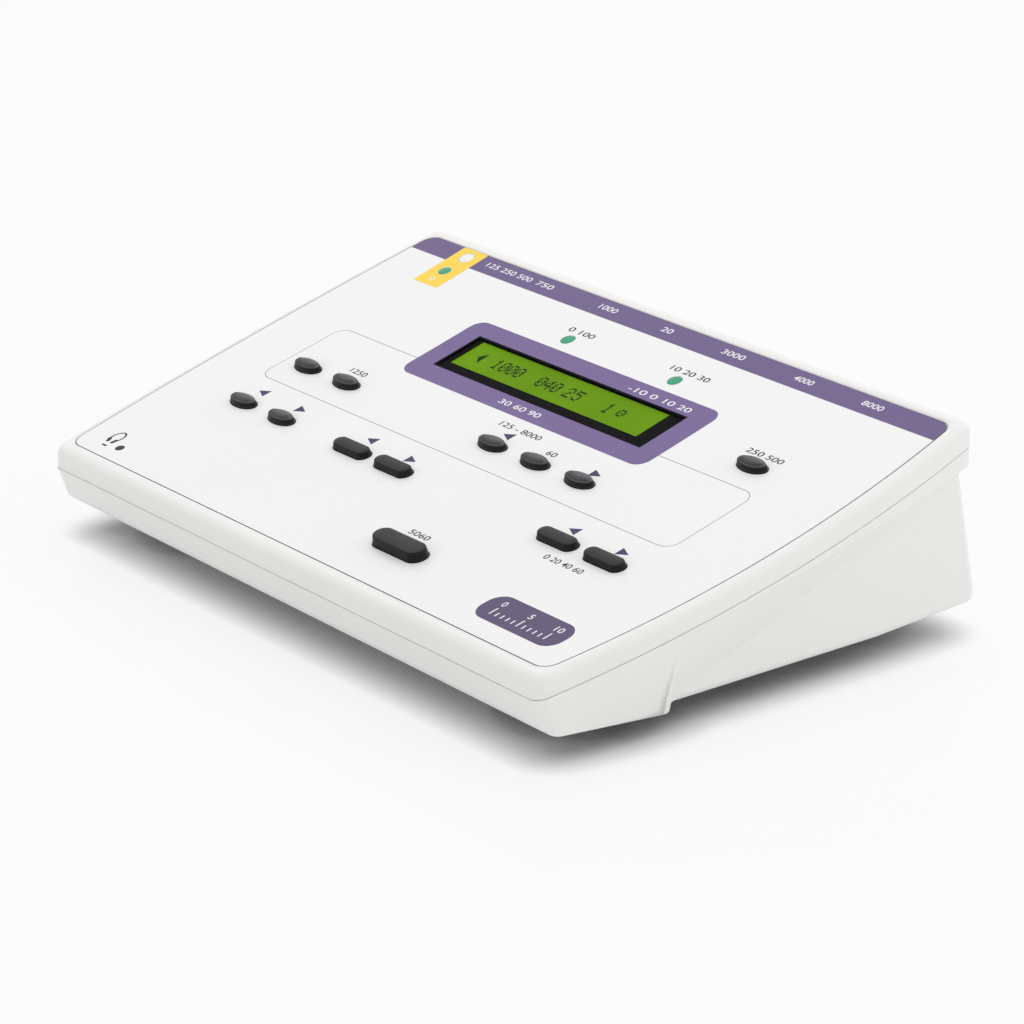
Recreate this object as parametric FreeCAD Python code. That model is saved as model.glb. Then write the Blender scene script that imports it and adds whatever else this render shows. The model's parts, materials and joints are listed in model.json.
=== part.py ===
import FreeCAD, Part

import math
import os

from FreeCAD import Placement, Rotation, Vector

# Desktop audiometer: a sloping case of two shells, with a printed panel, thirteen keys, a character
# display and a row of sockets at the back.
# Millimetres.  X runs across the case, Y from its front to its back, Z up from the table.
# The origin is on the table, under the middle of the case.

# ---------------------------------------------------------------- driving dimensions

# Case seen from above: straight front and back, sides bowed outwards.
case_half_width = 136.5
side_bow_radius = 540.0
widest_y = 13.0
front_y = -88.3
rim_back_y = 80.2
case_corner_radius = 3.6
wall = 2.5

# Deck and parting line: two hollow arcs in side view, both steeper towards the back.
deck_front_height = 30.8
deck_front_slope = 11.3
deck_radius = 1534.0
deck_thickness = 3.0
deck_edge_rounding = 3.4
parting_front_height = 23.4
parting_front_slope = 11.8
parting_radius = 2190.0
parting_groove = 0.35
parting_groove_depth = 0.8
tongue_thickness = 1.1
tongue_height = 1.6
tongue_clearance = 0.1

# Lower case: an upright band under the parting line, a shoulder, then straight side walls.
band_front_height = 0.3
band_rear_height = 6.0
shoulder_front_height = 34.4
shoulder_rear_height = 2.5
shoulder_step = 0.3
side_draw_in = 8.9
side_wall_half_width = case_half_width - side_draw_in
side_wall_flare = 0.0255
rear_wall_top_y = 78.2
rear_wall_bottom_y = 88.6
underside_height = 8.5
kick_start_y = 46.0
kick_slope = 3.0
rear_edge_rounding = 3.5

# Front block: the deeper front end of the lower case, a little wider than the rest.
block_rear_y = -36.0
block_proud = 1.5
block_overlap = 14.0
block_front_height = 11.6
block_slope = 5.1
block_corner_radius = 6.0
block_front_rounding = 7.0
block_end_rounding = 3.0
front_lean = 3.6
face_overlap = 0.2

# Printed panel, let into the deck.
panel_margin_side = 3.6
panel_margin_front = 4.8
panel_margin_back = 6.1
panel_corner_radius = 4.4
panel_thickness = 0.5
panel_recess = 0.6
panel_gap = 0.25

# Keys.
small_key_size = (12.3, 6.0, 2.8)
key_bevel = (0.9, 1.1)
bar_key_size = (17.2, 6.0, 2.4)
wide_key_size = (23.7, 8.0, 3.4)
key_hole_clearance = 0.3
panel_hole_clearance = 0.45
key_flange_overlap = 1.4
key_flange_thickness = 1.2
key_seat_gap = 0.1
key_stem_width = 2.6
key_travel = 0.8

# Rows and columns of the keys, on the deck.
upper_row_y = -6.9
lower_row_y = -33.6
front_key_place = (31.2, -63.9)
present_key_place = (90.1, 27.1)
left_pair_x = (-94.2, -72.7)
middle_bar_x = (-33.8, -12.0)
upper_trio_x = (5.1, 26.5, 48.2)
right_bar_x = (70.0, 92.0)

# Lamps and talk-back microphone.
lamp_diameter = 5.2
power_lamp_place = (-25.8, 49.9)
response_lamp_place = (28.0, 49.8)
talk_lamp_place = (-104.3, 59.6)
talk_lamp_diameter = 4.7
microphone_place = (-104.0, 69.0)
microphone_hole_diameter = 5.5
microphone_diameter = 9.7
microphone_length = 5.0
microphone_boot_wall = 0.8
lamp_fit = 0.1
lamp_gap = 0.3
led_size = 3.0

# Display: a 24 by 2 character module behind a clear window.
window_centre = (-3.45, 26.75)
window_size = (105.3, 20.1)
window_fit = 0.1
window_sink = 0.1
window_thickness = 0.5
view_border = (5.1, 2.45)
view_offset = (-1.95, 1.7)
bezel_sheet = 0.4
bezel_skirt = (0.35, 2.45)
glass_fit = 0.2
lcd_glass_thickness = 2.2
backlight_inset = 0.5
lcd_board_overhang = (6.4, 8.0)
lcd_board_size = (window_size[0] + 2 * lcd_board_overhang[0], window_size[1] + 2 * lcd_board_overhang[1], 1.6)
bezel_box = (window_size[0] + 2 * bezel_skirt[0], window_size[1] + 2 * bezel_skirt[1])
lcd_board_depth = 10.0
lcd_hole_inset = 3.5

# Main board, parallel to the deck at one row of keys.
board_row_y = -10.0
board_depth = 15.5
board_thickness = 1.6
board_side_gap = 28.5
board_half_width = case_half_width - board_side_gap
board_front_y = -76.0
board_back_y = 70.0
switch_size = 6.0
switch_height = 4.3
switch_well = 3.6
stem_engagement = 0.9
well_floor_gap = 0.6
switch_well_depth = stem_engagement + key_travel + well_floor_gap
post_radius = 3.2
screw_shank_radius = 1.3
screw_head_radius = 2.6
screw_head_height = 1.6
board_screw_length = 6.0
board_post_inset = 8.0
board_rear_post_inset = 28.0
board_post_rows = (-58.0, 10.0, 60.0)

# Case screws.
case_screw_inset = 20.0
case_screw_x = case_half_width - case_screw_inset
case_screw_rows = (-66.0, 0.0, 64.0)
case_screw_shank_radius = 1.5
case_screw_head_radius = 2.9
case_screw_head_height = 2.2
case_screw_bite = 7.0
case_post_radius = 4.6
screw_floor = 2.4

# Battery bay for four AA cells, with a cover that slides off to the rear.
cell_radius = 7.1
cell_length = 49.2
cell_nub = (2.7, 1.3)
cell_pitch = 15.2
contact_room = 2.4
leaf_height = 10.0
leaf_gap = 0.1
pair_leaf_width = 26.0
single_leaf_width = 10.0
bay_front_y = -8.0
bay_wall = 1.8
door_thickness = 2.2
door_overlap = 1.6
door_rail = 1.2
door_fit = 0.2

# Rear sockets, square to the leaning rear wall.
socket_height = 36.0
jack_bore_radius = 3.2
jack_bore_depth = 29.0
jack_bush_radius = 5.0
jack_bush_reach = 3.2
jack_body = (15.0, 24.5, 15.0)
nut_radius = 6.6
nut_height = 1.8
left_jack_x = 28.0
right_jack_x = 54.0
response_jack_x = 0.0
usb_x = -27.0
power_x = -52.0
usb_shell = (12.0, 16.0, 11.0)
usb_opening = (8.6, 7.9)
usb_depth = 9.0
usb_tongue = (5.6, 3.2)
power_body = (9.0, 14.0, 11.0)
power_bore_radius = 2.9
power_pin_radius = 1.0
power_bore_depth = 9.5
socket_board_size = (142.0, 25.0, 1.6)

# Larger components of the main board, placed in the board's own frame.
processor_size = (20.0, 20.0, 2.4)
processor_place = (-48.0, 14.0)
chip_size = (10.5, 7.6, 2.3)
chip_places = [(12.0, 52.0), (32.0, 52.0), (56.0, 40.0), (56.0, 20.0)]
relay_size = (10.0, 15.0, 8.0)
relay_places = [(-62.0, 50.0), (-48.0, 50.0)]
capacitor_radius = 3.15
capacitor_height = 7.0
capacitor_places = [(76.0, 30.0), (86.0, 30.0), (-30.0, 54.0), (-14.0, 54.0)]
connector_size = (35.6, 2.5)
connector_offset = 30.0
connector_inset = 2.0
connector_gap = 0.15

# Ribbon cable between the two boards.
ribbon_x = 14.0
ribbon_width = 10.0
ribbon_thickness = 0.9
ribbon_plug_y = 62.0
ribbon_plug_height = 5.0

# Feet.
foot_inset = 41.5
foot_x = case_half_width - foot_inset
foot_front_y = -51.0
foot_rear_y = 62.0
foot_radius = 7.5
foot_height = 5.0
foot_pad_wall = 1.6

# ---------------------------------------------------------------- directions and basic shapes

RIGHT = Vector(1, 0, 0)
UP = Vector(0, 0, 1)
reach = 3.0 * case_half_width


def line(start, end):
    return Part.LineSegment(start, end).toShape()


def arc(start, middle, end):
    return Part.Arc(start, middle, end).toShape()


def box(x0, x1, y0, y1, z0, z1):
    """Upright box between two corners."""
    return Part.makeBox(x1 - x0, y1 - y0, z1 - z0, Vector(x0, y0, z0))


def slab(width, depth, low, high, centre=(0.0, 0.0)):
    """Box centred on a point in plan, between two heights."""
    x, y = centre
    return box(x - width / 2, x + width / 2, y - depth / 2, y + depth / 2, low, high)


def rod(radius, low, high, centre=(0.0, 0.0)):
    """Upright cylinder between two heights."""
    return Part.makeCylinder(radius, high - low, Vector(centre[0], centre[1], low), UP)


def peg(radius, low, high, centre=(0.0, 0.0)):
    """Upright eight-sided bar, for screws, posts and small holes inside the case."""
    corners = [Vector(centre[0] + radius * math.cos(math.radians(45.0 * i + 22.5)),
                      centre[1] + radius * math.sin(math.radians(45.0 * i + 22.5)), low) for i in range(9)]
    return Part.Face(Part.makePolygon(corners)).extrude(UP * (high - low))


def joined(shapes):
    """One solid made of overlapping solids."""
    first, rest = shapes[0], shapes[1:]
    return first.fuse(rest).removeSplitter()


def group(shapes):
    """Several separate solids kept side by side."""
    return Part.makeCompound(shapes)


def placed(shape, frame):
    """Copy of a shape made at the origin, moved to a frame."""
    copy = shape.copy()
    copy.Placement = frame.multiply(copy.Placement)
    return copy


# ---------------------------------------------------------------- arcs of the side view

def arc_from_front(height, slope, radius):
    """Centre and radius of a hollow arc that starts at the front edge."""
    angle = math.radians(slope)
    return (front_y - radius * math.sin(angle), height + radius * math.cos(angle), radius)


deck = arc_from_front(deck_front_height, deck_front_slope, deck_radius)
parting = arc_from_front(parting_front_height, parting_front_slope, parting_radius)


def arc_height(curve, y, depth=0.0):
    centre_y, centre_z, radius = curve
    return centre_z - math.sqrt((radius + depth) ** 2 - (y - centre_y) ** 2)


def arc_tilt(curve, y):
    """Slope of an arc at y, in degrees."""
    centre_y, _, radius = curve
    return math.degrees(math.asin((y - centre_y) / radius))


def under(curve, depth=0.0):
    """Block of everything that lies at least this deep beneath an arc."""
    y0, y1 = front_y - 40.0, rear_wall_bottom_y + 40.0
    x = -reach / 2
    points = [Vector(x, y, arc_height(curve, y, depth)) for y in (y0, (y0 + y1) / 2, y1)]
    low_back = Vector(x, y1, -60.0)
    low_front = Vector(x, y0, -60.0)
    edges = [arc(*points), line(points[2], low_back), line(low_back, low_front), line(low_front, points[0])]
    return Part.Face(Part.Wire(edges)).extrude(RIGHT * reach)


def between(curve, top_depth, bottom_depth):
    """Layer that follows an arc."""
    return under(curve, top_depth).cut(under(curve, bottom_depth))


def side_block(corners):
    """Block across the case with a side view given as (y, z, rounding) corners."""
    x = -reach / 2
    count = len(corners)
    points = [Vector(x, y, z) for y, z, _ in corners]
    edges = []
    starts = []
    for i in range(count):
        rounding = corners[i][2]
        here, before, after = points[i], points[i - 1], points[(i + 1) % count]
        back = (before - here).normalize()
        ahead = (after - here).normalize()
        half = back.getAngle(ahead) / 2
        cut = rounding / math.tan(half)
        start, end = here + back * cut, here + ahead * cut
        if rounding:
            centre = here + (back + ahead).normalize() * (rounding / math.sin(half))
            middle = centre + (here - centre).normalize() * rounding
            edges.append(arc(start, middle, end))
        starts.append((start, end))
    for i in range(count):
        edges.append(line(starts[i - 1][1], starts[i][0]))
    return Part.Face(Part.Wire(Part.__sortEdges__(edges))).extrude(RIGHT * reach)


def above_slope(height, slope, start_y):
    """Block of everything above a flat slope that has the given height at start_y."""
    rise = math.tan(math.radians(slope))
    y0, y1 = front_y - 60.0, rear_wall_bottom_y + 60.0
    low = [Vector(-reach / 2, y, height + rise * (y - start_y)) for y in (y0, y1)]
    high = [Vector(-reach / 2, y1, 200.0), Vector(-reach / 2, y0, 200.0)]
    return Part.Face(Part.makePolygon([low[0], low[1], high[0], high[1], low[0]])).extrude(RIGHT * reach)


# ---------------------------------------------------------------- plan outlines

def rim_half_width(y, margin=0.0):
    """Half width of the bowed outline at y."""
    centre_x = case_half_width - side_bow_radius
    return centre_x + math.sqrt((side_bow_radius - margin) ** 2 - (y - widest_y) ** 2)


def side_wall(y, margin=0.0):
    """Half width of the straight lower side walls at y."""
    return side_wall_half_width + side_wall_flare * y - margin


def ring(half_width, y0, y1, corner, height):
    """Closed wire of a plan outline with rounded corners.

    half_width(y) gives the sides, and height(y) the flat plane that the outline lies in.
    """
    def point(x, y):
        return Vector(x, y, height(y))

    def round_corner(side, y, inward):
        """Start, middle and end of a corner, from the side to the front or back edge."""
        from_side = (side * half_width(y + inward * corner), y + inward * corner)
        from_end = (side * (half_width(y) - corner), y)
        centre = (side * (half_width(y) - corner), y + inward * corner)
        reach_out = corner / math.sqrt(2.0)
        middle = (centre[0] + side * reach_out, centre[1] - inward * reach_out)
        return [point(*from_side), point(*middle), point(*from_end)]

    def side_edge(side, start, end):
        middle_y = (start.y + end.y) / 2
        bow = abs(half_width(middle_y) - (abs(start.x) + abs(end.x)) / 2)
        if bow < 0.01:
            return line(start, end)
        return arc(start, point(side * half_width(middle_y), middle_y), end)

    front_right = round_corner(1, y0, 1)
    back_right = round_corner(1, y1, -1)
    back_left = round_corner(-1, y1, -1)
    front_left = round_corner(-1, y0, 1)
    edges = [
        line(front_left[2], front_right[2]),
        arc(*reversed(front_right)),
        side_edge(1, front_right[0], back_right[0]),
        arc(*back_right),
        line(back_right[2], back_left[2]),
        arc(*reversed(back_left)),
        side_edge(-1, back_left[0], front_left[0]),
        arc(*front_left),
    ]
    return Part.Wire(edges)


def plan_block(side, front, back, corner):
    """Tall upright block of the bowed plan, drawn in by a margin at each edge."""
    base = ring(lambda y: rim_half_width(y, side), front_y + front, rim_back_y - back, corner, lambda y: -20.0)
    return Part.Face(base).extrude(UP * reach)


def rim_block(margin):
    corner = max(case_corner_radius - margin, 1.5)
    return plan_block(margin, margin, margin, corner)


def panel_block(gap):
    return plan_block(panel_margin_side + gap, panel_margin_front + gap, panel_margin_back + gap,
                      panel_corner_radius)


# ---------------------------------------------------------------- local frames

def deck_frame(place):
    """Frame on the deck surface with its Z along the outward normal."""
    x, y = place
    return Placement(Vector(x, y, arc_height(deck, y)), Rotation(RIGHT, arc_tilt(deck, y)))


def on_deck(shape, place):
    return placed(shape, deck_frame(place))


def board_frame():
    """Frame on the top face of the main board, square to it."""
    frame = deck_frame((0.0, board_row_y))
    return frame.multiply(Placement(Vector(0, -board_row_y, -board_depth), Rotation()))


def board_place(place):
    """Point of the main board's top face that lies straight under a point of the deck."""
    start = deck_frame(place)
    frame = board_frame().inverse()
    top = frame.multVec(start.Base)
    down = frame.Rotation.multVec(start.Rotation.multVec(Vector(0, 0, -1)))
    distance = top.z / -down.z
    return (top + down * distance, distance)


rear_lean = math.degrees(math.atan2(rear_wall_bottom_y - rear_wall_top_y,
                                    arc_height(parting, rear_wall_top_y) - band_rear_height - underside_height))


def rear_wall_y(z):
    """Outer face of the leaning rear wall at a height."""
    return rear_wall_bottom_y - (z - underside_height) * math.tan(math.radians(rear_lean))


def socket_frame(x, lift=0.0):
    """Frame on the rear wall: Z points straight out of it and Y up along it."""
    turn = Rotation(RIGHT, -90.0 + rear_lean)
    flip = Rotation(UP, 180.0)
    frame = Placement(Vector(x, rear_wall_y(socket_height), socket_height), turn.multiply(flip))
    return frame.multiply(Placement(Vector(0, lift, 0), Rotation()))


def board_seat(height):
    """Lift of a socket of this height that stands on the socket board."""
    return socket_board_top() + height / 2


# ---------------------------------------------------------------- key layout

bar_keys = {
    "level_down_key": (middle_bar_x[0], lower_row_y),
    "level_up_key": (middle_bar_x[1], lower_row_y),
    "intensity_down_key": (right_bar_x[0], lower_row_y),
    "intensity_up_key": (right_bar_x[1], lower_row_y),
}
small_keys = {
    "left_upper_key": (left_pair_x[0], upper_row_y),
    "tone_key": (left_pair_x[1], upper_row_y),
    "left_lower_key": (left_pair_x[0], lower_row_y),
    "right_lower_key": (left_pair_x[1], lower_row_y),
    "frequency_down_key": (upper_trio_x[0], upper_row_y),
    "decibel_key": (upper_trio_x[1], upper_row_y),
    "frequency_up_key": (upper_trio_x[2], upper_row_y),
    "present_key": present_key_place,
}
wide_keys = {"mask_key": front_key_place}
key_places = [*small_keys.values(), *bar_keys.values(), *wide_keys.values()]


def obround(length, width, low, high):
    """Upright block with semicircular ends."""
    return Part.Face(obround_wire(length, width, low)).extrude(UP * (high - low))


def obround_wire(length, width, height):
    half = (length - width) / 2
    radius = width / 2
    corners = [Vector(sx * half, sy * radius, height) for sx, sy in ((-1, -1), (1, -1), (1, 1), (-1, 1))]
    right = Vector(half + radius, 0, height)
    left = Vector(-half - radius, 0, height)
    return Part.Wire([line(corners[0], corners[1]), arc(corners[1], right, corners[2]),
                      line(corners[2], corners[3]), arc(corners[3], left, corners[0])])


def key_hole(size, clearance):
    """Cutter for the hole that a key stands in."""
    length, width = size[0] + 2 * clearance, size[1] + 2 * clearance
    return obround(length, width, -8.0, 8.0)


def key_windows():
    """Square-cornered windows of the cover, which the film hides and the keys' flanges close from below."""
    sizes = [(place, small_key_size) for place in small_keys.values()]
    sizes += [(place, bar_key_size) for place in bar_keys.values()]
    sizes += [(place, wide_key_size) for place in wide_keys.values()]
    return [on_deck(slab(size[0] + 2 * key_hole_clearance, size[1] + 2 * key_hole_clearance, -8.0, 8.0), place)
            for place, size in sizes]


def key_holes(clearance):
    cutters = [on_deck(key_hole(small_key_size, clearance), p) for p in small_keys.values()]
    cutters += [on_deck(key_hole(bar_key_size, clearance), p) for p in bar_keys.values()]
    cutters += [on_deck(key_hole(wide_key_size, clearance), p) for p in wide_keys.values()]
    return cutters


def key_foot(size, place):
    """Flange that stops a key under the deck, and the stem that works its switch."""
    seat = -deck_thickness - key_seat_gap
    _, distance = board_place(place)
    tip = -distance + switch_height - stem_engagement
    flange = slab(size[0] + 2 * key_flange_overlap, size[1] + 2 * key_flange_overlap,
                  seat - key_flange_thickness, seat)
    stem = slab(key_stem_width, key_stem_width, tip, seat)
    return [flange, stem]


def key_bottom():
    """Underside of a key's skirt, inside its flange."""
    return -deck_thickness - key_seat_gap - key_flange_thickness / 2


def key(size, place):
    """Oblong cap with round ends and a bevelled flat top."""
    length, width, height = size
    bevel_width, bevel_height = key_bevel
    edge = height - bevel_height
    skirt = obround(length, width, key_bottom(), edge)
    wires = [obround_wire(length, width, edge),
             obround_wire(length - 2 * bevel_width, width - 2 * bevel_width, height)]
    crown = Part.makeLoft(wires, True, True)
    return on_deck(joined([skirt, crown, *key_foot(size, place)]), place)


# ---------------------------------------------------------------- posts, bosses and feet

outer_post_x = board_half_width - board_post_inset
rear_post_x = board_half_width - board_rear_post_inset
board_post_places = [(0.0, board_post_rows[0])]
board_post_places += [(side * outer_post_x, y) for side in (-1, 1) for y in board_post_rows[:2]]
board_post_places += [(side * rear_post_x, board_post_rows[2]) for side in (-1, 1)]
case_post_places = [(side * case_screw_x, y) for side in (-1, 1) for y in case_screw_rows]
foot_places = [(side * foot_x, y) for side in (-1, 1) for y in (foot_front_y, foot_rear_y)]


def lcd_post_places():
    """Mounting holes of the display board, in the display's own frame."""
    across = lcd_board_size[0] / 2 - lcd_hole_inset
    along = lcd_board_size[1] / 2 - lcd_hole_inset
    return [(sx * across, sy * along) for sx in (-1, 1) for sy in (-1, 1)]


def block_bottom(y):
    """Height of the front block's sloping underside."""
    return block_front_height - math.tan(math.radians(block_slope)) * (y - front_y)


def underside_at(y):
    """Height of the case's underside at y."""
    if y < block_rear_y:
        return block_bottom(y)
    if y > kick_start_y:
        return underside_height + math.tan(math.radians(kick_slope)) * (y - kick_start_y)
    return underside_height


def case_screw_seat(y):
    """Height of the face that a case screw's head bears on."""
    return underside_at(y) + case_screw_head_height + 1.0 + screw_floor


# ---------------------------------------------------------------- lower case

def rim_plane(y, front_drop, rear_drop):
    """Flat plane under the parting line, given its drop at the front and at the back."""
    front = arc_height(parting, front_y) - front_drop
    rear = arc_height(parting, rim_back_y) - rear_drop
    return front + (rear - front) * (y - front_y) / (rim_back_y - front_y)


def band_foot(y):
    return rim_plane(y, band_front_height, band_rear_height)


def shoulder_foot(y):
    return rim_plane(y, band_front_height + shoulder_front_height, band_rear_height + shoulder_rear_height)


def straight_plan(margin, proud, y0, y1):
    """Tall block between the straight, slightly flared side walls."""
    corners = [Vector(side * (side_wall(y, margin) + proud), y, -20.0)
               for side, y in ((-1, y0), (1, y0), (1, y1), (-1, y1), (-1, y0))]
    return Part.Face(Part.makePolygon(corners)).extrude(UP * reach)


def standing_edges(shape, y_low, y_high):
    """Edges that run up a block, between two positions along the case."""
    return [e for e in shape.Edges if e.BoundBox.YMin > y_low and e.BoundBox.YMax < y_high
            and e.BoundBox.XLength < 0.9 * e.BoundBox.ZLength]


def lower_edges(shape, height):
    """Edges of the underside's outline."""
    return [e for e in shape.Edges if e.BoundBox.ZMax < height]


def rear_block(margin):
    """Straight-walled rear body, with its underside kicked up towards the leaning rear wall."""
    start = block_rear_y - block_overlap
    floor = underside_height + margin
    kick = math.tan(math.radians(kick_slope))
    lean = math.tan(math.radians(rear_lean))
    rear_foot = rear_wall_bottom_y - margin
    rise = (rear_foot - kick_start_y) * kick / (1.0 + lean * kick)
    top = band_foot(rear_wall_top_y) + 1.0
    corners = [(start, floor, 0.0), (kick_start_y, floor, 0.0),
               (rear_foot - rise * lean, floor + rise, 0.0),
               (rear_foot - (top - floor) * lean, top, 0.0), (start, band_foot(start), 0.0)]
    block = straight_plan(margin, 0.0, start - 10.0, rear_wall_bottom_y + 10.0).common(side_block(corners))
    if margin:
        return block
    block = block.makeFillet(case_corner_radius, standing_edges(block, kick_start_y + 10.0, 200.0))
    back = [e for e in lower_edges(block, floor + rise + 0.5) if e.BoundBox.YMin > rear_wall_top_y]
    return block.makeFillet(rear_edge_rounding, back)


def front_block(margin):
    """Deeper front end of the lower case. Its walls run straight from the rim down to its foot."""
    face = front_y + margin
    foot = face + front_lean
    end = block_rear_y - margin
    lift = 1.0 if margin else 0.0
    rise = (arc_height(parting, end) - arc_height(parting, face)) / (end - face)
    upper = ring(lambda y: rim_half_width(y, margin), face - face_overlap, end + face_overlap,
                 max(case_corner_radius - margin, 1.5),
                 lambda y: arc_height(parting, face) + rise * (y - face) + lift)
    lower = ring(lambda y: side_wall(y, margin) + block_proud, foot - face_overlap, end + face_overlap,
                 block_corner_radius - margin, lambda y: block_bottom(y) - face_overlap)
    walls = Part.makeLoft([upper, lower], True, True).common(under(parting, -lift))
    floor = block_bottom(foot) + margin
    tops = arc_height(parting, face) + lift, arc_height(parting, end) + 2.0 * lift + 1.0
    corners = [(face, tops[0], 0.0), (foot, floor, block_front_rounding - margin),
               (end, block_bottom(end) + margin, max(block_end_rounding - margin, 0.5)), (end, tops[1], 0.0)]
    return walls.common(side_block(corners))


def rear_shoulder(margin):
    """Sides of the rear body, drawn in from the rim's band to the straight lower walls."""
    inner = margin + shoulder_step
    corner = max(case_corner_radius - margin, 1.5)
    start = block_rear_y - block_overlap
    lift = 0.5 if margin else 0.0
    top = ring(lambda y: rim_half_width(y, inner), start, rim_back_y - inner, corner,
               lambda y: band_foot(y) + lift)
    inset = margin + face_overlap / 2
    foot = ring(lambda y: side_wall(y, inset), start, rear_wall_top_y - inset, corner, shoulder_foot)
    above_floor = box(-reach, reach, -reach, reach, underside_height + margin, reach)
    return Part.makeLoft([top, foot], True, True).common(above_floor)


def lower_body(margin):
    """Outer form of the lower case, drawn in by a margin on every side but the top."""
    lift = 1.0 if margin else 0.0
    slope = math.degrees(math.atan(band_foot(1.0) - band_foot(0.0)))
    band = rim_block(margin).common(under(parting, -lift))
    band = band.common(above_slope(band_foot(0.0), slope, 0.0))
    return joined([band, rear_shoulder(margin), rear_block(margin), front_block(margin)])


def battery_bay_size():
    half = 2 * cell_pitch + 0.4
    length = cell_length + cell_nub[1] + 2 * contact_room
    return half, bay_front_y, bay_front_y + length


def bay_floor():
    """Height of the cover's inner face, where the bay begins."""
    return underside_height + door_thickness


def bottom_case():
    cavity = lower_body(wall)
    shell = lower_body(0.0).cut(cavity)
    half, y0, y1 = battery_bay_size()
    low = bay_floor()
    high = low + 2 * cell_radius + 1.0
    bay = box(-half - bay_wall, half + bay_wall, y0 - bay_wall, y1 + bay_wall, 0.0, high + bay_wall)
    track = box(-half - 2 * bay_wall - door_overlap, half + 2 * bay_wall + door_overlap,
                y0 - 2 * bay_wall, rear_wall_bottom_y, 0.0, low + door_fit + bay_wall)
    inside = lower_body(wall - 0.5)
    added = [bay.common(inside), track.common(inside)]
    added += [peg(case_post_radius, 0.0, arc_height(parting, y), (x, y)).common(inside)
              for x, y in case_post_places]
    added += [placed(post, socket_frame(0.0)).common(inside) for post in socket_board_posts()]
    added += foot_pads()
    shell = joined([shell, *added])
    cutters = [box(-half, half, y0, y1, 0.0, high), *door_track(), *case_screw_holes(),
               *socket_holes(), *socket_board_pilots(), tongue_rebate()]
    return shell.cut(cutters).removeSplitter()


def tongue_rebate():
    """Rebate in the rim that takes the top cover's tongue."""
    outer = wall - tongue_thickness - tongue_clearance
    step = rim_block(outer).cut(rim_block(wall + 1.0))
    return step.common(between(parting, -1.0, tongue_height + tongue_clearance))


def door_track():
    """Room for the battery cover and its side rails, open to the rear."""
    half, y0, _ = battery_bay_size()
    width = half + door_overlap
    middle = underside_height + door_thickness / 2
    front = y0 - door_overlap - door_fit
    top = bay_floor() + door_fit
    return [box(-width - door_fit, width + door_fit, front, rear_wall_bottom_y + 5.0, 0.0, top),
            box(-width - door_rail - door_fit, width + door_rail + door_fit, front,
                rear_wall_bottom_y + 5.0, middle - door_fit, top)]


def case_screw_holes():
    """Stepped holes for the case screws, from the underside."""
    cutters = []
    for x, y in case_post_places:
        seat = case_screw_seat(y)
        cutters.append(peg(case_screw_head_radius + 0.4, -1.0, seat - screw_floor, (x, y)))
        cutters.append(peg(case_screw_shank_radius + 0.2, -1.0, 80.0, (x, y)))
    return cutters


def foot_pads():
    """Round pads on the underside that carry the feet."""
    radius = foot_radius + foot_pad_wall
    return [rod(radius, foot_height, underside_at(y) + wall / 2, (x, y)) for x, y in foot_places]


def rubber_feet():
    """Four low round feet, stuck on the pads of the underside."""
    return group([rod(foot_radius, 0.0, foot_height, place) for place in foot_places])


# ---------------------------------------------------------------- top cover

def deck_edges(shape):
    """Edges that lie in the deck surface."""
    centre_y, centre_z, radius = deck

    def on_surface(point):
        return abs(math.hypot(point.y - centre_y, point.z - centre_z) - radius) < 0.001

    return [e for e in shape.Edges if all(on_surface(e.valueAt(t)) for t in
                                          (e.FirstParameter, (e.FirstParameter + e.LastParameter) / 2,
                                           e.LastParameter))]


def top_cover():
    outer = rim_block(0.0).common(under(deck)).cut(under(parting))
    outer = outer.makeFillet(deck_edge_rounding, deck_edges(outer))
    outer = outer.cut(rim_block(wall).common(under(deck, deck_thickness)))
    tongue = rim_block(wall - tongue_thickness).cut(rim_block(wall))
    tongue = tongue.common(between(parting, -1.0, tongue_height))
    room = rim_block(wall - 0.5).common(under(deck, deck_thickness - 0.5))
    added = [tongue]
    for x, y in case_post_places:
        added.append(peg(case_post_radius, case_screw_top(y), 120.0, (x, y)).common(room))
    board = board_frame()
    for x, y in board_post_places:
        added.append(placed(peg(post_radius, 0.0, 30.0, (x, y)), board).common(room))
    display = deck_frame(window_centre)
    for place in lcd_post_places():
        added.append(placed(peg(post_radius - 0.7, -lcd_board_depth, 0.0, place), display).common(room))
    cover = joined([outer, *added])
    groove = rim_block(0.0).cut(rim_block(parting_groove_depth)).common(between(parting, -parting_groove, 1.0))
    recess = panel_block(0.0).common(under(deck, -5.0)).cut(under(deck, panel_recess))
    window = slab(window_size[0], window_size[1], -8.0, 4.0)
    cutters = [groove, recess, on_deck(window, window_centre), *key_windows(), *lamp_holes(),
               *post_pilots()]
    return cover.cut(cutters).removeSplitter()


def case_screw_top(y):
    """Lower end of the top cover's screw posts, where they stand on the lower case's posts."""
    return arc_height(parting, y)


def lamp_holes():
    small = talk_lamp_diameter / 2
    wide = lamp_diameter / 2
    return [on_deck(rod(wide, -8.0, 4.0), power_lamp_place),
            on_deck(rod(wide, -8.0, 4.0), response_lamp_place),
            on_deck(rod(small, -8.0, 4.0), talk_lamp_place),
            on_deck(rod(microphone_hole_diameter / 2, -8.0, 4.0), microphone_place)]


def post_pilots():
    """Blind holes that the screws bite into."""
    board = board_frame()
    bite = board_screw_length - board_thickness
    cutters = [placed(peg(screw_shank_radius, -1.0, bite + 0.5, p), board) for p in board_post_places]
    display = deck_frame(window_centre)
    cutters += [placed(peg(screw_shank_radius * 0.8, -lcd_board_depth - 1.0, -lcd_board_depth + 4.5, p),
                       display) for p in lcd_post_places()]
    cutters += [peg(case_screw_shank_radius, 0.0, case_screw_top(y) + screw_grip(y), (x, y))
                for x, y in case_post_places]
    return cutters


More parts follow.
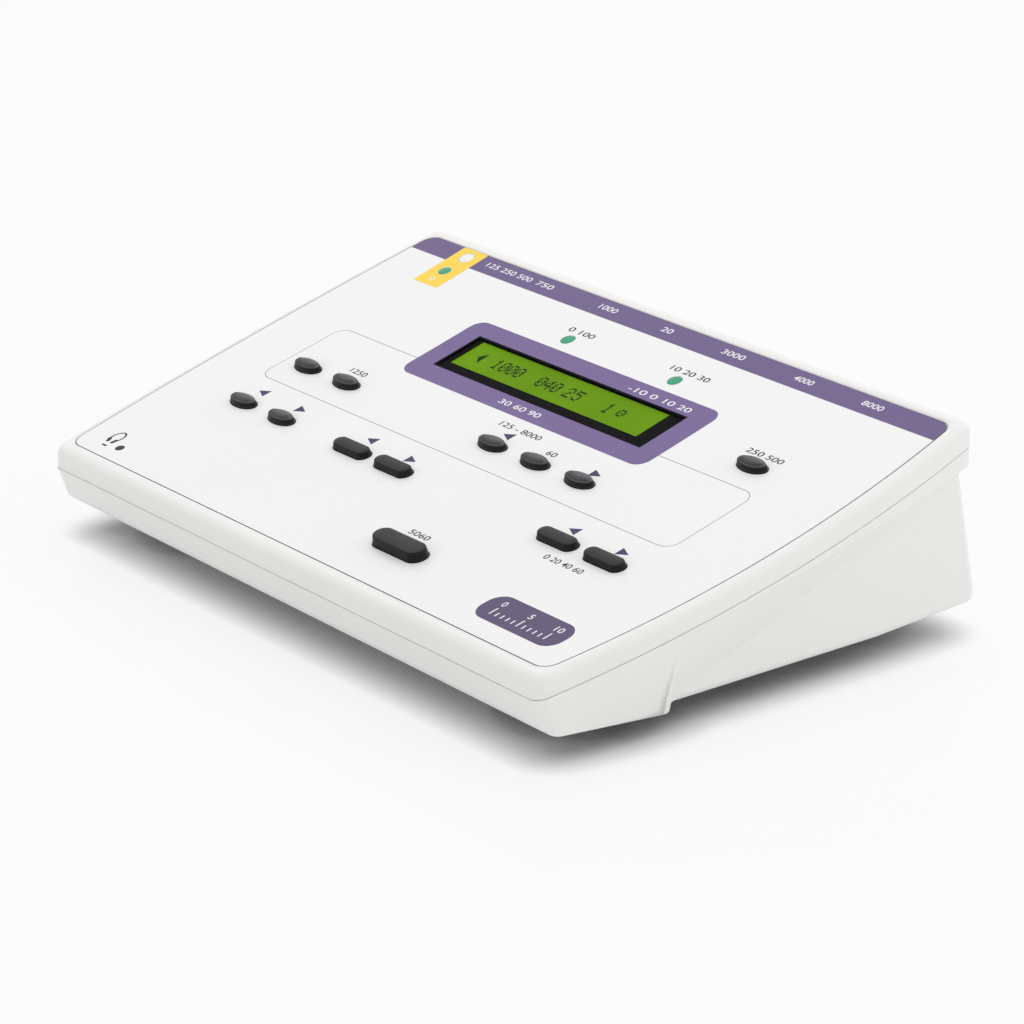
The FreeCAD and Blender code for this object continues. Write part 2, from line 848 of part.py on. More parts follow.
def screw_grip(y):
    """How far a case screw reaches into the top cover's post."""
    room = arc_height(deck, y) - deck_thickness - case_screw_top(y)
    return min(case_screw_bite, room + 1.0)


# ---------------------------------------------------------------- panel, window, lamps, microphone

def panel_overlay():
    """Thin printed sheet let into the deck, with openings for all that shows through it."""
    sheet = panel_block(panel_gap).common(between(deck, panel_recess - panel_thickness, panel_recess))
    window = slab(window_size[0], window_size[1], -4.0, 4.0)
    cutters = [on_deck(window, window_centre), *key_holes(panel_hole_clearance), *lamp_holes()]
    return sheet.cut(cutters)


def display_window():
    width, depth = window_size[0] - 2 * window_fit, window_size[1] - 2 * window_fit
    return on_deck(slab(width, depth, -window_sink - window_thickness, -window_sink), window_centre)


def lcd_bezel():
    """Black sheet frame of the display: a raised border in the window and a box behind the deck."""
    top = -window_sink - window_thickness
    box_top = -deck_thickness - key_seat_gap
    width, depth = window_size[0] - 2 * window_fit, window_size[1] - 2 * window_fit
    outer = joined([slab(width, depth, box_top - 0.5, top),
                    slab(bezel_box[0], bezel_box[1], -lcd_board_depth, box_top)])
    both = 2 * bezel_sheet
    room = joined([slab(width - both, depth - both, box_top - 1.5, top - bezel_sheet),
                   slab(bezel_box[0] - both, bezel_box[1] - both, -lcd_board_depth, box_top - bezel_sheet)])
    view_size = window_size[0] - 2 * view_border[0], window_size[1] - 2 * view_border[1]
    view = slab(*view_size, -12.0, 4.0, view_offset)
    return on_deck(outer.cut([room, view]), window_centre)


def lcd_glass():
    top = -window_sink - window_thickness - bezel_sheet
    margin = window_fit + bezel_sheet + glass_fit
    glass = slab(window_size[0] - 2 * margin, window_size[1] - 2 * margin, top - lcd_glass_thickness, top)
    return on_deck(glass, window_centre)


def lcd_backlight():
    top = -window_sink - window_thickness - bezel_sheet - lcd_glass_thickness
    inset = window_fit + bezel_sheet + backlight_inset
    block = slab(window_size[0] - 2 * inset, window_size[1] - 2 * inset, -lcd_board_depth, top)
    return on_deck(block, window_centre)


def lcd_board():
    low = -lcd_board_depth - lcd_board_size[2]
    board = slab(lcd_board_size[0], lcd_board_size[1], low, -lcd_board_depth)
    holes = [peg(screw_shank_radius * 0.8 + 0.2, low - 1.0, -lcd_board_depth + 1.0, p)
             for p in lcd_post_places()]
    return on_deck(board.cut(holes), window_centre)


def lcd_screws():
    low = -lcd_board_depth - lcd_board_size[2]
    screws = []
    for place in lcd_post_places():
        head = peg(screw_head_radius * 0.8, low - screw_head_height * 0.8, low, place)
        shank = peg(screw_shank_radius * 0.8, low - 0.1, -lcd_board_depth + 4.0, place)
        screws.append(on_deck(joined([head, shank]), window_centre))
    return group(screws)


def lamp(place, diameter):
    """Light pipe from the panel down to the diode on the main board."""
    _, distance = board_place(place)
    pipe = rod(diameter / 2 - lamp_fit, -distance + led_size + lamp_gap, -panel_recess + panel_thickness)
    return on_deck(pipe, place)


def indicator_leds():
    """Three diodes on the main board, one under each light pipe."""
    diodes = []
    for place in (power_lamp_place, response_lamp_place, talk_lamp_place):
        spot, _ = board_place(place)
        diodes.append(placed(slab(led_size, led_size, 0.0, led_size, (spot.x, spot.y)), board_frame()))
    return group(diodes)


def microphone_grille():
    """White porous insert that fills the microphone's hole."""
    disc = rod(microphone_hole_diameter / 2 - lamp_fit, -deck_thickness, -panel_recess + panel_thickness)
    return on_deck(disc, microphone_place)


def microphone_capsule():
    top = -deck_thickness
    can = rod(microphone_diameter / 2, top - microphone_length, top)
    return on_deck(can, microphone_place)


def microphone_boot():
    """Rubber cup round the capsule, pressed against the deck."""
    top = -deck_thickness - 0.1
    radius = microphone_diameter / 2
    base = -deck_thickness - microphone_length
    cup = rod(radius + microphone_boot_wall, base - microphone_boot_wall, top)
    return on_deck(cup.cut(rod(radius, base, 1.0)), microphone_place)


# ---------------------------------------------------------------- main board

def main_board():
    low, high = -board_thickness, 0.0
    board = box(-board_half_width, board_half_width, board_front_y, board_back_y, low, high)
    holes = [peg(screw_shank_radius + 0.3, low - 1.0, 1.0, p) for p in board_post_places]
    return placed(board.cut(holes), board_frame())


def board_screws():
    screws = []
    for place in board_post_places:
        head = peg(screw_head_radius, -board_thickness - screw_head_height, -board_thickness, place)
        shank = peg(screw_shank_radius, -board_thickness - 0.1, board_screw_length - board_thickness, place)
        screws.append(placed(joined([head, shank]), board_frame()))
    return group(screws)


def tact_switches():
    """One push switch under each key, with a well that guides the key's stem."""
    switches = []
    for place in key_places:
        spot, _ = board_place(place)
        centre = (spot.x, spot.y)
        body = slab(switch_size, switch_size, 0.0, switch_height, centre)
        well = slab(switch_well, switch_well, switch_height - switch_well_depth, switch_height + 1.0, centre)
        switches.append(placed(body.cut(well), board_frame()))
    return group(switches)


def board_part(size, centre):
    """Plain component on the underside of the main board."""
    width, depth, height = size
    return placed(slab(width, depth, -board_thickness - height, -board_thickness, centre), board_frame())


def processor():
    return board_part(processor_size, processor_place)


def signal_chips():
    """Converters, attenuators and earphone amplifiers."""
    return group([board_part(chip_size, place) for place in chip_places])


def relays():
    return group([board_part(relay_size, place) for place in relay_places])


def capacitors():
    low = -board_thickness - capacitor_height
    return group([placed(peg(capacitor_radius, low, -board_thickness, place), board_frame())
                  for place in capacitor_places])


def display_connector():
    """Pin strip between the display board and the main board."""
    low = -lcd_board_depth - lcd_board_size[2]
    strip = Vector(-connector_offset, lcd_board_size[1] / 2 - connector_inset, low)
    spot = board_frame().inverse().multVec(deck_frame(window_centre).multVec(strip))
    block = slab(connector_size[0], connector_size[1], 0.0, spot.z - connector_gap, (spot.x, spot.y))
    return placed(block, board_frame())


def ribbon_plug():
    return board_part((ribbon_width + 3.0, 6.0, ribbon_plug_height), (ribbon_x, ribbon_plug_y))


# ---------------------------------------------------------------- batteries

def cell_rows():
    return [(i - 1.5) * cell_pitch for i in range(4)]


def battery_cells():
    """Four AA cells side by side, every other one turned round."""
    _, y0, _ = battery_bay_size()
    z = bay_floor() + door_fit + cell_radius + 0.2
    start = y0 + contact_room
    cells = []
    for index, x in enumerate(cell_rows()):
        along = Vector(0, 1, 0)
        body = Part.makeCylinder(cell_radius, cell_length, Vector(x, start, z), along)
        nub = placed(peg(cell_nub[0], 0.0, cell_nub[1]),
                     Placement(Vector(x, start + cell_length, z), Rotation(RIGHT, -90.0)))
        cell = joined([body, nub])
        if index % 2:
            middle = Vector(x, start + (cell_length + cell_nub[1]) / 2, z)
            cell.rotate(middle, UP, 180.0)
        cells.append(cell)
    return group(cells)


def battery_contacts():
    """Leaf contacts at both ends of the bay, two cells to a leaf."""
    _, y0, y1 = battery_bay_size()
    z = bay_floor() + door_fit + cell_radius
    low, high = z - leaf_height / 2, z + leaf_height / 2
    leaves = [box(x - pair_leaf_width / 2, x + pair_leaf_width / 2, y1 - contact_room + leaf_gap, y1, low, high)
              for x in (-cell_pitch, cell_pitch)]
    rows = cell_rows()
    for x, width in ((rows[0], single_leaf_width), (0.0, pair_leaf_width), (rows[-1], single_leaf_width)):
        leaves.append(box(x - width / 2, x + width / 2, y0, y0 + contact_room - leaf_gap, low, high))
    return group(leaves)


def battery_door():
    """Flat cover in a track, with rails along its sides and a ribbed thumb patch."""
    half, y0, y1 = battery_bay_size()
    width = half + door_overlap
    front, back = y0 - door_overlap, y1 + door_overlap
    middle = underside_height + door_thickness / 2
    plate = box(-width, width, front, back, underside_height, bay_floor())
    rails = box(-width - door_rail, width + door_rail, front, back, middle, bay_floor())
    grooves = [box(-12.0, 12.0, back - 8.0 - 3.0 * i, back - 6.8 - 3.0 * i, 0.0, underside_height + 0.6)
               for i in range(4)]
    return joined([plate, rails]).cut(grooves)


# ---------------------------------------------------------------- rear sockets

def earphone_jack(x):
    """Chassis jack: threaded bush through the wall, body behind it, one blind bore."""
    width, depth, height = jack_body
    body = slab(width, height, -wall - depth, -wall)
    bush = rod(jack_bush_radius, -wall - 1.0, jack_bush_reach)
    bore = rod(jack_bore_radius, jack_bush_reach - jack_bore_depth, jack_bush_reach + 1.0)
    return placed(joined([body, bush]).cut(bore), socket_frame(x))


def jack_nuts():
    nuts = []
    for x in (left_jack_x, response_jack_x, right_jack_x):
        turns = [math.radians(60.0 * i) for i in range(7)]
        corners = [Vector(nut_radius * math.cos(turn), nut_radius * math.sin(turn), 0.0) for turn in turns]
        nut = Part.Face(Part.makePolygon(corners)).extrude(UP * nut_height)
        nuts.append(placed(nut.cut(rod(jack_bush_radius, -1.0, 5.0)), socket_frame(x)))
    return group(nuts)


def usb_socket():
    """Square type B socket: metal shell with a plastic tongue inside."""
    width, depth, height = usb_shell
    shell = slab(width, height, -wall - depth + 3.0, 0.0)
    mouth = slab(usb_opening[0], usb_opening[1], -usb_depth, 1.0)
    tongue = slab(usb_tongue[0], usb_tongue[1], -usb_depth - 0.5, -1.0)
    return placed(joined([shell.cut(mouth), tongue]), socket_frame(usb_x, board_seat(height)))


def power_socket():
    """Round low-voltage inlet with a centre pin."""
    width, depth, height = power_body
    body = slab(width, height, -wall - depth + 3.0, 0.0)
    bore = rod(power_bore_radius, -power_bore_depth, 1.0)
    pin = rod(power_pin_radius, -power_bore_depth - 0.5, -0.5)
    return placed(joined([body.cut(bore), pin]), socket_frame(power_x, board_seat(height)))


def socket_holes():
    """Openings of the rear wall for the bushes and the two square sockets."""
    cutters = [placed(rod(jack_bush_radius + 0.15, -8.0, 4.0), socket_frame(x))
               for x in (left_jack_x, response_jack_x, right_jack_x)]
    for x, body in ((usb_x, usb_shell), (power_x, power_body)):
        opening = slab(body[0] + 0.3, body[2] + 0.3, -8.0, 4.0)
        cutters.append(placed(opening, socket_frame(x, board_seat(body[2]))))
    return cutters


def socket_board_top():
    return -jack_body[2] / 2


def socket_board_span():
    """Outer and inner edge of the socket board, measured out from the rear wall."""
    outer = -wall - 1.0
    return outer - socket_board_size[1], outer


def socket_board_holes():
    inner, _ = socket_board_span()
    half = socket_board_size[0] / 2 - 5.0
    return [(-half, inner + 6.0), (half, inner + 6.0)]


def upright_peg(radius, low, high, place):
    """Eight-sided bar that stands along the rear wall, for the socket board."""
    bar = peg(radius, low, high)
    return placed(bar, Placement(Vector(place[0], 0, place[1]), Rotation(RIGHT, -90.0)))


def socket_board():
    """Board that carries the sockets, square to the rear wall."""
    inner, outer = socket_board_span()
    top = socket_board_top()
    half = socket_board_size[0] / 2
    board = box(-half, half, top - socket_board_size[2], top, inner, outer)
    holes = [upright_peg(screw_shank_radius + 0.3, top - 5.0, top + 5.0, p) for p in socket_board_holes()]
    return placed(board.cut(holes), socket_frame(0.0))


def socket_board_posts():
    low = socket_board_top() - socket_board_size[2]
    return [upright_peg(post_radius, low - 30.0, low, p) for p in socket_board_holes()]


def socket_board_pilots():
    low = socket_board_top() - socket_board_size[2]
    return [placed(upright_peg(screw_shank_radius, low - 6.0, low + 1.0, p), socket_frame(0.0))
            for p in socket_board_holes()]


def socket_board_screws():
    top = socket_board_top()
    screws = []
    for place in socket_board_holes():
        head = upright_peg(screw_head_radius, top, top + screw_head_height, place)
        shank = upright_peg(screw_shank_radius, top - socket_board_size[2] - 5.0, top + 0.1, place)
        screws.append(placed(joined([head, shank]), socket_frame(0.0)))
    return group(screws)


def ribbon_cable():
    """Flat cable from the main board's plug down to the socket board."""
    start = board_frame().multVec(Vector(0, ribbon_plug_y, -board_thickness - ribbon_plug_height))
    end = socket_frame(0.0).multVec(Vector(0, socket_board_top(), socket_board_span()[0] + 3.0))
    front = min(start.y, end.y) - 2.0
    path = [(start.y, start.z), (front, start.z - 6.0), (front, end.z + 6.0), (end.y, end.z)]
    low = [Vector(ribbon_x - ribbon_width / 2, y, z) for y, z in path]
    high = [point + Vector(0, ribbon_thickness, 0) for point in reversed(low)]
    profile = Part.Face(Part.makePolygon([*high, *low, high[0]]))
    return profile.extrude(RIGHT * ribbon_width).cut(socket_board())


def case_screws():
    screws = []
    for x, y in case_post_places:
        seat = case_screw_seat(y) - screw_floor
        head = peg(case_screw_head_radius, seat - case_screw_head_height, seat, (x, y))
        shank = peg(case_screw_shank_radius, seat - 0.1, case_screw_top(y) + screw_grip(y) - 0.5, (x, y))
        screws.append(joined([head, shank]))
    return group(screws)


# ---------------------------------------------------------------- output

def build_parts():
    parts = {
        "top_cover": top_cover(),
        "bottom_case": bottom_case(),
        "panel_overlay": panel_overlay(),
        "display_window": display_window(),
        "lcd_bezel": lcd_bezel(),
        "lcd_glass": lcd_glass(),
        "lcd_backlight": lcd_backlight(),
        "lcd_board": lcd_board(),
        "lcd_screws": lcd_screws(),
        "power_lamp": lamp(power_lamp_place, lamp_diameter),
        "response_lamp": lamp(response_lamp_place, lamp_diameter),
        "talk_lamp": lamp(talk_lamp_place, talk_lamp_diameter),
        "indicator_leds": indicator_leds(),
        "microphone_grille": microphone_grille(),
        "microphone_capsule": microphone_capsule(),
        "microphone_boot": microphone_boot(),
        "main_board": main_board(),
        "board_screws": board_screws(),
        "tact_switches": tact_switches(),
        "processor": processor(),
        "signal_chips": signal_chips(),
        "relays": relays(),
        "capacitors": capacitors(),
        "display_connector": display_connector(),
        "ribbon_plug": ribbon_plug(),
        "ribbon_cable": ribbon_cable(),
        "socket_board": socket_board(),
        "socket_board_screws": socket_board_screws(),
        "left_earphone_jack": earphone_jack(left_jack_x),
        "right_earphone_jack": earphone_jack(right_jack_x),
        "response_jack": earphone_jack(response_jack_x),
        "jack_nuts": jack_nuts(),
        "usb_socket": usb_socket(),
        "power_socket": power_socket(),
        "battery_cells": battery_cells(),
        "battery_contacts": battery_contacts(),
        "battery_door": battery_door(),
        "rubber_feet": rubber_feet(),
        "case_screws": case_screws(),
    }
    for name, place in small_keys.items():
        parts[name] = key(small_key_size, place)
    for name, place in bar_keys.items():
        parts[name] = key(bar_key_size, place)
    for name, place in wide_keys.items():
        parts[name] = key(wide_key_size, place)
    return parts


os.makedirs("parts", exist_ok=True)
for part_name, part_shape in build_parts().items():
    part_shape.exportStep(os.path.join("parts", part_name + ".step"))
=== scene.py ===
"""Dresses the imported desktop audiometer: case plastics, printed panel, keys, display, sockets and studio."""
import json
import math
from functools import partial

import bmesh
import bpy
from bpy.props import FloatProperty, FloatVectorProperty, PointerProperty
from mathutils import Matrix, Vector

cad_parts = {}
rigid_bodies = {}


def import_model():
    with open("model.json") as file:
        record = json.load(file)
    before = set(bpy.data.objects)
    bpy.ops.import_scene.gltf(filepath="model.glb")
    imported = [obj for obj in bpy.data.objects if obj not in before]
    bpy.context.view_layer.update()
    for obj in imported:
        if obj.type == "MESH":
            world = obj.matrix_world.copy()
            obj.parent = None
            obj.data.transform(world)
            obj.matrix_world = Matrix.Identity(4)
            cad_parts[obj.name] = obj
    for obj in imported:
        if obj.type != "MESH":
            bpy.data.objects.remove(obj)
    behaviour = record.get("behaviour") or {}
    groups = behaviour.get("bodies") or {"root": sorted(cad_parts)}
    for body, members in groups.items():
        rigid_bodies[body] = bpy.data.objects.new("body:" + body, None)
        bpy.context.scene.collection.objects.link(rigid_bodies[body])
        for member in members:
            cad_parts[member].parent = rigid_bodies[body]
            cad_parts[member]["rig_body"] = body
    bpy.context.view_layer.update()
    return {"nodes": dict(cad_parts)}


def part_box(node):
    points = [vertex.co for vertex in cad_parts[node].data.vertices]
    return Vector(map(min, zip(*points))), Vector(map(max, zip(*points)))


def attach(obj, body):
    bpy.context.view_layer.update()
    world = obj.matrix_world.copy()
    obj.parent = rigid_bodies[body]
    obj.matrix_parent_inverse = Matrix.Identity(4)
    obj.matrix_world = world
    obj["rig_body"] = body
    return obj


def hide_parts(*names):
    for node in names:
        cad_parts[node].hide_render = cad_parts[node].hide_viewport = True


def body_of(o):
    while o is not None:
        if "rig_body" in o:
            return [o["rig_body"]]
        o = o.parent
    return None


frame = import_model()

bl_info = {
    "name": "Audiometer dressing",
    "version": (1, 0, 0),
    "blender": (4, 5, 0),
    "location": "View3D > Sidebar > Audiometer",
    "description": "Finishes, printing, keys and studio of a desktop audiometer",
    "category": "Object",
}

MM = 0.001

# Sizes below are in millimetres, and places are seen from above. Bowed plan of the case:
HALF_WIDTH = 136.5
SIDE_BOW = 540.0
WIDEST_Y = 13.0
FRONT_Y = -88.3
BACK_Y = 80.2

# The deck is part of a cylinder that lies across the case.
DECK_FRONT_HEIGHT = 30.8
DECK_FRONT_SLOPE = math.radians(11.3)
DECK_RADIUS = 1534.0
DECK_CENTRE_Y = FRONT_Y - DECK_RADIUS * math.sin(DECK_FRONT_SLOPE)
DECK_CENTRE_Z = DECK_FRONT_HEIGHT + DECK_RADIUS * math.cos(DECK_FRONT_SLOPE)
DECK_THICKNESS = 3.0

# The halves meet along a flatter arc, with a groove under it.
PARTING_HEIGHT = 23.4
PARTING_SLOPE = math.radians(11.8)
PARTING_RADIUS = 2190.0
RIM_CORNER = 3.6

# Panel film: margins at the sides, front and back, and the heights of its two faces over the deck.
FILM_MARGINS = (3.6, 4.8, 6.1)
FILM_CORNER = 4.4
FILM_TOP = -0.1
FILM_BOTTOM = -0.6

# How far inside these margins the film, the ring of painted shade in its gap and the band's ink end.
FILM_INSET = 0.5
SEAM_INSETS = (0.42, 0.49)
BAND_INSET = 0.52

# Room in the film round lamps and microphone, across a key, and in the ink that goes round a hole.
HOLE_ROOM = 0.12
KEY_HOLE_ROOM = 0.3
INK_ROOM = 0.25

# Display window, and the lit area that its bezel leaves in view.
WINDOW_CENTRE = (-3.45, 26.75)
WINDOW_SIZE = (105.3, 20.1)
GLASS_DEPTH = 1.0
VIEW_CENTRE = (-5.4, 28.45)
VIEW_SIZE = (95.1, 15.2)

# Rear wall, which leans towards the front, and the sockets in it.
REAR_LEAN = math.asin(0.2015)
REAR_FOOT = (88.6, 8.5)
SOCKET_HEIGHT = 36.0
WALL = 2.5
JACK_PLACES = {"response_jack": 0.0, "left_earphone_jack": 28.0, "right_earphone_jack": 54.0}
DATA_X = -27.0
SUPPLY_X = -52.0
BOARD_LIFT = -2.0

# Length, width and height of each kind of cap, and the place and kind of each key.
SMALL_KEY = (12.3, 6.0, 2.8)
LONG_KEY = (17.2, 6.0, 2.4)
WIDE_KEY = (23.7, 8.0, 3.4)
OVAL_GROWTH = (0.3, 0.25)
KEYS = {
    "left_upper_key": ((-94.2, -6.9), SMALL_KEY), "tone_key": ((-72.7, -6.9), SMALL_KEY),
    "left_lower_key": ((-94.2, -33.6), SMALL_KEY), "right_lower_key": ((-72.7, -33.6), SMALL_KEY),
    "frequency_down_key": ((5.1, -6.9), SMALL_KEY), "decibel_key": ((26.5, -6.9), SMALL_KEY),
    "frequency_up_key": ((48.2, -6.9), SMALL_KEY), "present_key": ((90.1, 27.1), SMALL_KEY),
    "level_down_key": ((-33.8, -33.6), LONG_KEY), "level_up_key": ((-12.0, -33.6), LONG_KEY),
    "intensity_down_key": ((70.0, -33.6), LONG_KEY), "intensity_up_key": ((92.0, -33.6), LONG_KEY),
    "mask_key": ((31.2, -63.9), WIDE_KEY),
}

# Place and radius of each lamp and of the microphone opening.
LAMPS = {"power_lamp": ((-25.8, 49.9), 2.5), "response_lamp": ((28.0, 49.8), 2.5),
         "talk_lamp": ((-104.3, 59.6), 2.25)}
MICROPHONE = ((-104.0, 69.0), 2.65)

# How near points are made one in a CAD mesh and in flat artwork, and the width of its strips, in metres.
MESH_REACH = 0.000002
FLAT_REACH = 0.0000005
STRIP = 0.006

# Text size of a figure that is 1 high, and how far an arc of half a width stops short of its neighbour.
TEXT_SIZE = 1.38
ARC_GAP = 0.0001


# ---- sizes and colours that a user changes

ColourProperty = partial(FloatVectorProperty, subtype="COLOR", size=3, min=0.0, max=1.0)
LengthProperty = partial(FloatProperty, unit="LENGTH", min=0.0001, max=0.002, precision=5)
AngleProperty = partial(FloatProperty, subtype="ANGLE")


class CaseSettings(bpy.types.PropertyGroup):
    """Finish of the moulded case"""
    colour: ColourProperty(name="Case colour", description="Colour of the moulded case",
                           default=(0.895, 0.888, 0.872))
    roughness: FloatProperty(name="Roughness", description="Roughness of the case", subtype="FACTOR",
                             min=0.0, max=1.0, default=0.42)
    grain: LengthProperty(name="Grain", description="Width of one grain of the texture", default=0.00045)


class PanelSettings(bpy.types.PropertyGroup):
    """Printed panel film"""
    film: ColourProperty(name="Film colour", description="Colour of the bare film",
                         default=(0.905, 0.905, 0.905))
    purple: ColourProperty(name="Band colour", description="Ink of the band and the display surround",
                           default=(0.128, 0.081, 0.230))
    yellow: ColourProperty(name="Label colour", description="Ink of the microphone label",
                           default=(1.0, 0.68, 0.055))
    ink: ColourProperty(name="Figure colour", description="Ink of the dark figures",
                        default=(0.030, 0.027, 0.050))
    line_width: LengthProperty(name="Line width", description="Width of the thin line", default=0.00035)
    ink_lift: LengthProperty(name="Ink lift", description="Height of the ink over the film", min=0.000005,
                             max=0.0002, default=0.000015, precision=6)
    figure_height: LengthProperty(name="Figure height", description="Height of a printed figure", min=0.001,
                                  max=0.005, default=0.0025)
    weight: LengthProperty(name="Figure weight", description="How much a figure's strokes are thickened",
                           min=0.0, max=0.0003, default=0.00003)


class KeySettings(bpy.types.PropertyGroup):
    """Soft caps of the keys"""
    colour: ColourProperty(name="Key colour", description="Colour of the key caps",
                           default=(0.004, 0.004, 0.006))
    # The crown and dome colours are painted highlights: paler colours given to the upward faces of the caps in
    # place of the light on their tops.
    crown: ColourProperty(name="Crown colour", description="Colour of the highlighted tops of the long caps",
                          default=(0.030, 0.030, 0.034))
    dome: ColourProperty(name="Dome colour", description="Colour of the highlighted tops of the small caps",
                         default=(0.110, 0.110, 0.117))
    lean: LengthProperty(name="Lean", description="How far a cap's side leans in over its height", min=0.0,
                         default=0.0003)
    shoulder: LengthProperty(name="Shoulder", description="Rounding of a cap's upper edge", default=0.0005)


class DisplaySettings(bpy.types.PropertyGroup):
    """Lit character display"""
    light: ColourProperty(name="Display colour", description="Colour of the lit display",
                          default=(0.130, 0.276, 0.005))
    glow: FloatProperty(name="Glow", description="Strength of the display's own light", min=0.0, max=5.0,
                        default=0.30)
    figure: ColourProperty(name="Character colour", description="Colour of a dark dot",
                           default=(0.006, 0.022, 0.003))


class StudioSettings(bpy.types.PropertyGroup):
    """Camera and light"""
    azimuth: AngleProperty(name="Azimuth", description="Camera direction round the object",
                           default=math.radians(51.0))
    elevation: AngleProperty(name="Elevation", description="Camera direction over the floor",
                             default=math.radians(20.8))
    distance: FloatProperty(name="Distance", description="From the camera to its aim", unit="LENGTH",
                            default=1.2349, precision=4)
    aim: FloatVectorProperty(name="Aim", description="Point at the middle of the view", subtype="XYZ",
                             size=3, default=(0.0159, -0.0077, 0.0300))
    lens: FloatProperty(name="Lens", description="Focal length on a 36 mm sensor, in millimetres",
                        default=136.55)
    fill: FloatProperty(name="Fill", description="Strength of the light from all round", min=0.0, max=3.0,
                        default=0.82)
    soft_boxes: FloatProperty(name="Soft boxes", description="Scale of the three soft boxes", min=0.0,
                              max=5.0, default=1.0)


class AudiometerSettings(bpy.types.PropertyGroup):
    """All settings of the dressing"""
    case: PointerProperty(type=CaseSettings, name="Case", description="Moulded case")
    panel: PointerProperty(type=PanelSettings, name="Panel", description="Printed panel film")
    keys: PointerProperty(type=KeySettings, name="Keys", description="Key caps")
    display: PointerProperty(type=DisplaySettings, name="Display", description="Lit display")
    studio: PointerProperty(type=StudioSettings, name="Studio", description="Camera and light")


def settings():
    return bpy.context.scene.audiometer


# ---- deck, parting line and rear wall

def deck_height(y):
    """Height of the deck over the floor, in millimetres."""
    return DECK_CENTRE_Z - math.sqrt(DECK_RADIUS ** 2 - (y - DECK_CENTRE_Y) ** 2)


def parting_height(y):
    """Height of the line where the halves meet, in millimetres."""
    run = y - FRONT_Y + PARTING_RADIUS * math.sin(PARTING_SLOPE)
    rise = PARTING_RADIUS * math.cos(PARTING_SLOPE) - math.sqrt(PARTING_RADIUS ** 2 - run ** 2)
    return PARTING_HEIGHT + rise


def deck_frame(place, lift=0.0):
    """Frame on the deck, in metres, with Z straight out of it."""
    x, y = place
    tilt = math.asin((y - DECK_CENTRE_Y) / DECK_RADIUS)
    foot = Matrix.Translation(Vector((x, y, deck_height(y))) * MM)
    return foot @ Matrix.Rotation(tilt, 4, "X") @ Matrix.Translation((0, 0, lift * MM))


def rear_frame(x, up=0.0):
    """Frame on the rear wall, in metres: Z points out of the wall and Y up along it."""
    y = REAR_FOOT[0] - (SOCKET_HEIGHT - REAR_FOOT[1]) * math.tan(REAR_LEAN)
    foot = Matrix.Translation(Vector((x, y, SOCKET_HEIGHT)) * MM)
    turn = Matrix.Rotation(-math.pi / 2 + REAR_LEAN, 4, "X") @ Matrix.Rotation(math.pi, 4, "Z")
    return foot @ turn @ Matrix.Translation((0, up * MM, 0))


# ---- finishes

def add_node(tree, kind, output, sockets=(), **values):
    """Output of a new node. Each socket takes a value, or the output that feeds it."""
    node = tree.nodes.new(kind)
    for key, value in values.items():
        setattr(node, key, value)
    for socket, value in dict(sockets).items():
        if isinstance(value, bpy.types.NodeSocket):
            tree.links.new(value, node.inputs[socket])
        else:
            node.inputs[socket].default_value = value
    return node.outputs[output]


def maths(tree, operation, *values):
    """Result of a sum that a node works out."""
    return add_node(tree, "ShaderNodeMath", "Value", enumerate(values), operation=operation)


class Finish:
    """A material made of nodes, with a surface shader and helpers for its patterns."""

    def __init__(self, name, colour, roughness, **sockets):
        self.material = bpy.data.materials.new(name)
        self.material.use_nodes = True
        self.tree = self.material.node_tree
        self.shader = self.tree.nodes["Principled BSDF"]
        self.node = partial(add_node, self.tree)
        self.colour, self.roughness = colour, roughness
        for socket, value in (("Base Color", (*colour, 1.0)), ("Roughness", roughness), *sockets.items()):
            self.shader.inputs[socket.replace("_", " ")].default_value = value
        self.place = self.node("ShaderNodeTexCoord", "Object")

    def feed(self, socket, value):
        self.tree.links.new(value, self.shader.inputs[socket])

    def noise(self, grain, detail=2.0):
        """Noise whose grains are this wide, in metres."""
        return self.node("ShaderNodeTexNoise", "Fac", {
            "Scale": 1.0 / grain, "Detail": detail, "Vector": self.place})

    def ranged(self, value, low=0.0, high=1.0, start=0.3, end=0.7):
        """The value, brought from start..end into low..high."""
        return self.node("ShaderNodeMapRange", "Result", {
            "From Min": start, "From Max": end, "To Min": low, "To Max": high, "Value": value})

    def blend(self, factor, first, second):
        """Colour that goes from the first to the second."""
        self.feed("Base Color", self.node("ShaderNodeMix", "Result", {
            "A": (*first, 1.0), "B": (*second, 1.0), "Factor": factor}, data_type="RGBA"))

    def tint(self, grain, amount):
        """Faint change of the colour over the surface."""
        darker = tuple(c * (1.0 - amount) for c in self.colour)
        self.blend(self.ranged(self.noise(grain)), self.colour, darker)

    def mottle(self, grain, amount):
        """Faint change of the roughness over the surface."""
        low, high = self.roughness - amount, self.roughness + amount
        self.feed("Roughness", self.ranged(self.noise(grain), low, high))

    def relief(self, grain, depth, detail=2.0):
        """Fine relief of this depth, in metres."""
        self.feed("Normal", self.node("ShaderNodeBump", "Normal", {
            "Strength": 1.0, "Distance": depth, "Height": self.noise(grain, detail)}))

    def worn(self, **patterns):
        """The material, with its patterns called by name, each with its grain and its amount or depth."""
        for pattern, values in patterns.items():
            getattr(self, pattern)(*values)
        return self.material


def moulded(name, colour, roughness, grain, depth=0.00002):
    """Moulded plastic with a fine spark-eroded grain and slightly uneven gloss."""
    finish = Finish(name, colour, roughness)
    return finish.worn(tint=(0.06, 0.012), mottle=(0.012, 0.04), relief=(grain, depth))


def film(name, colour, roughness=0.34, gloss=0.5):
    """Printed polyester film with a faint orange peel."""
    finish = Finish(name, colour, roughness, Specular_IOR_Level=gloss)
    return finish.worn(tint=(0.08, 0.008), mottle=(0.02, 0.03), relief=(0.0009, 0.000004))


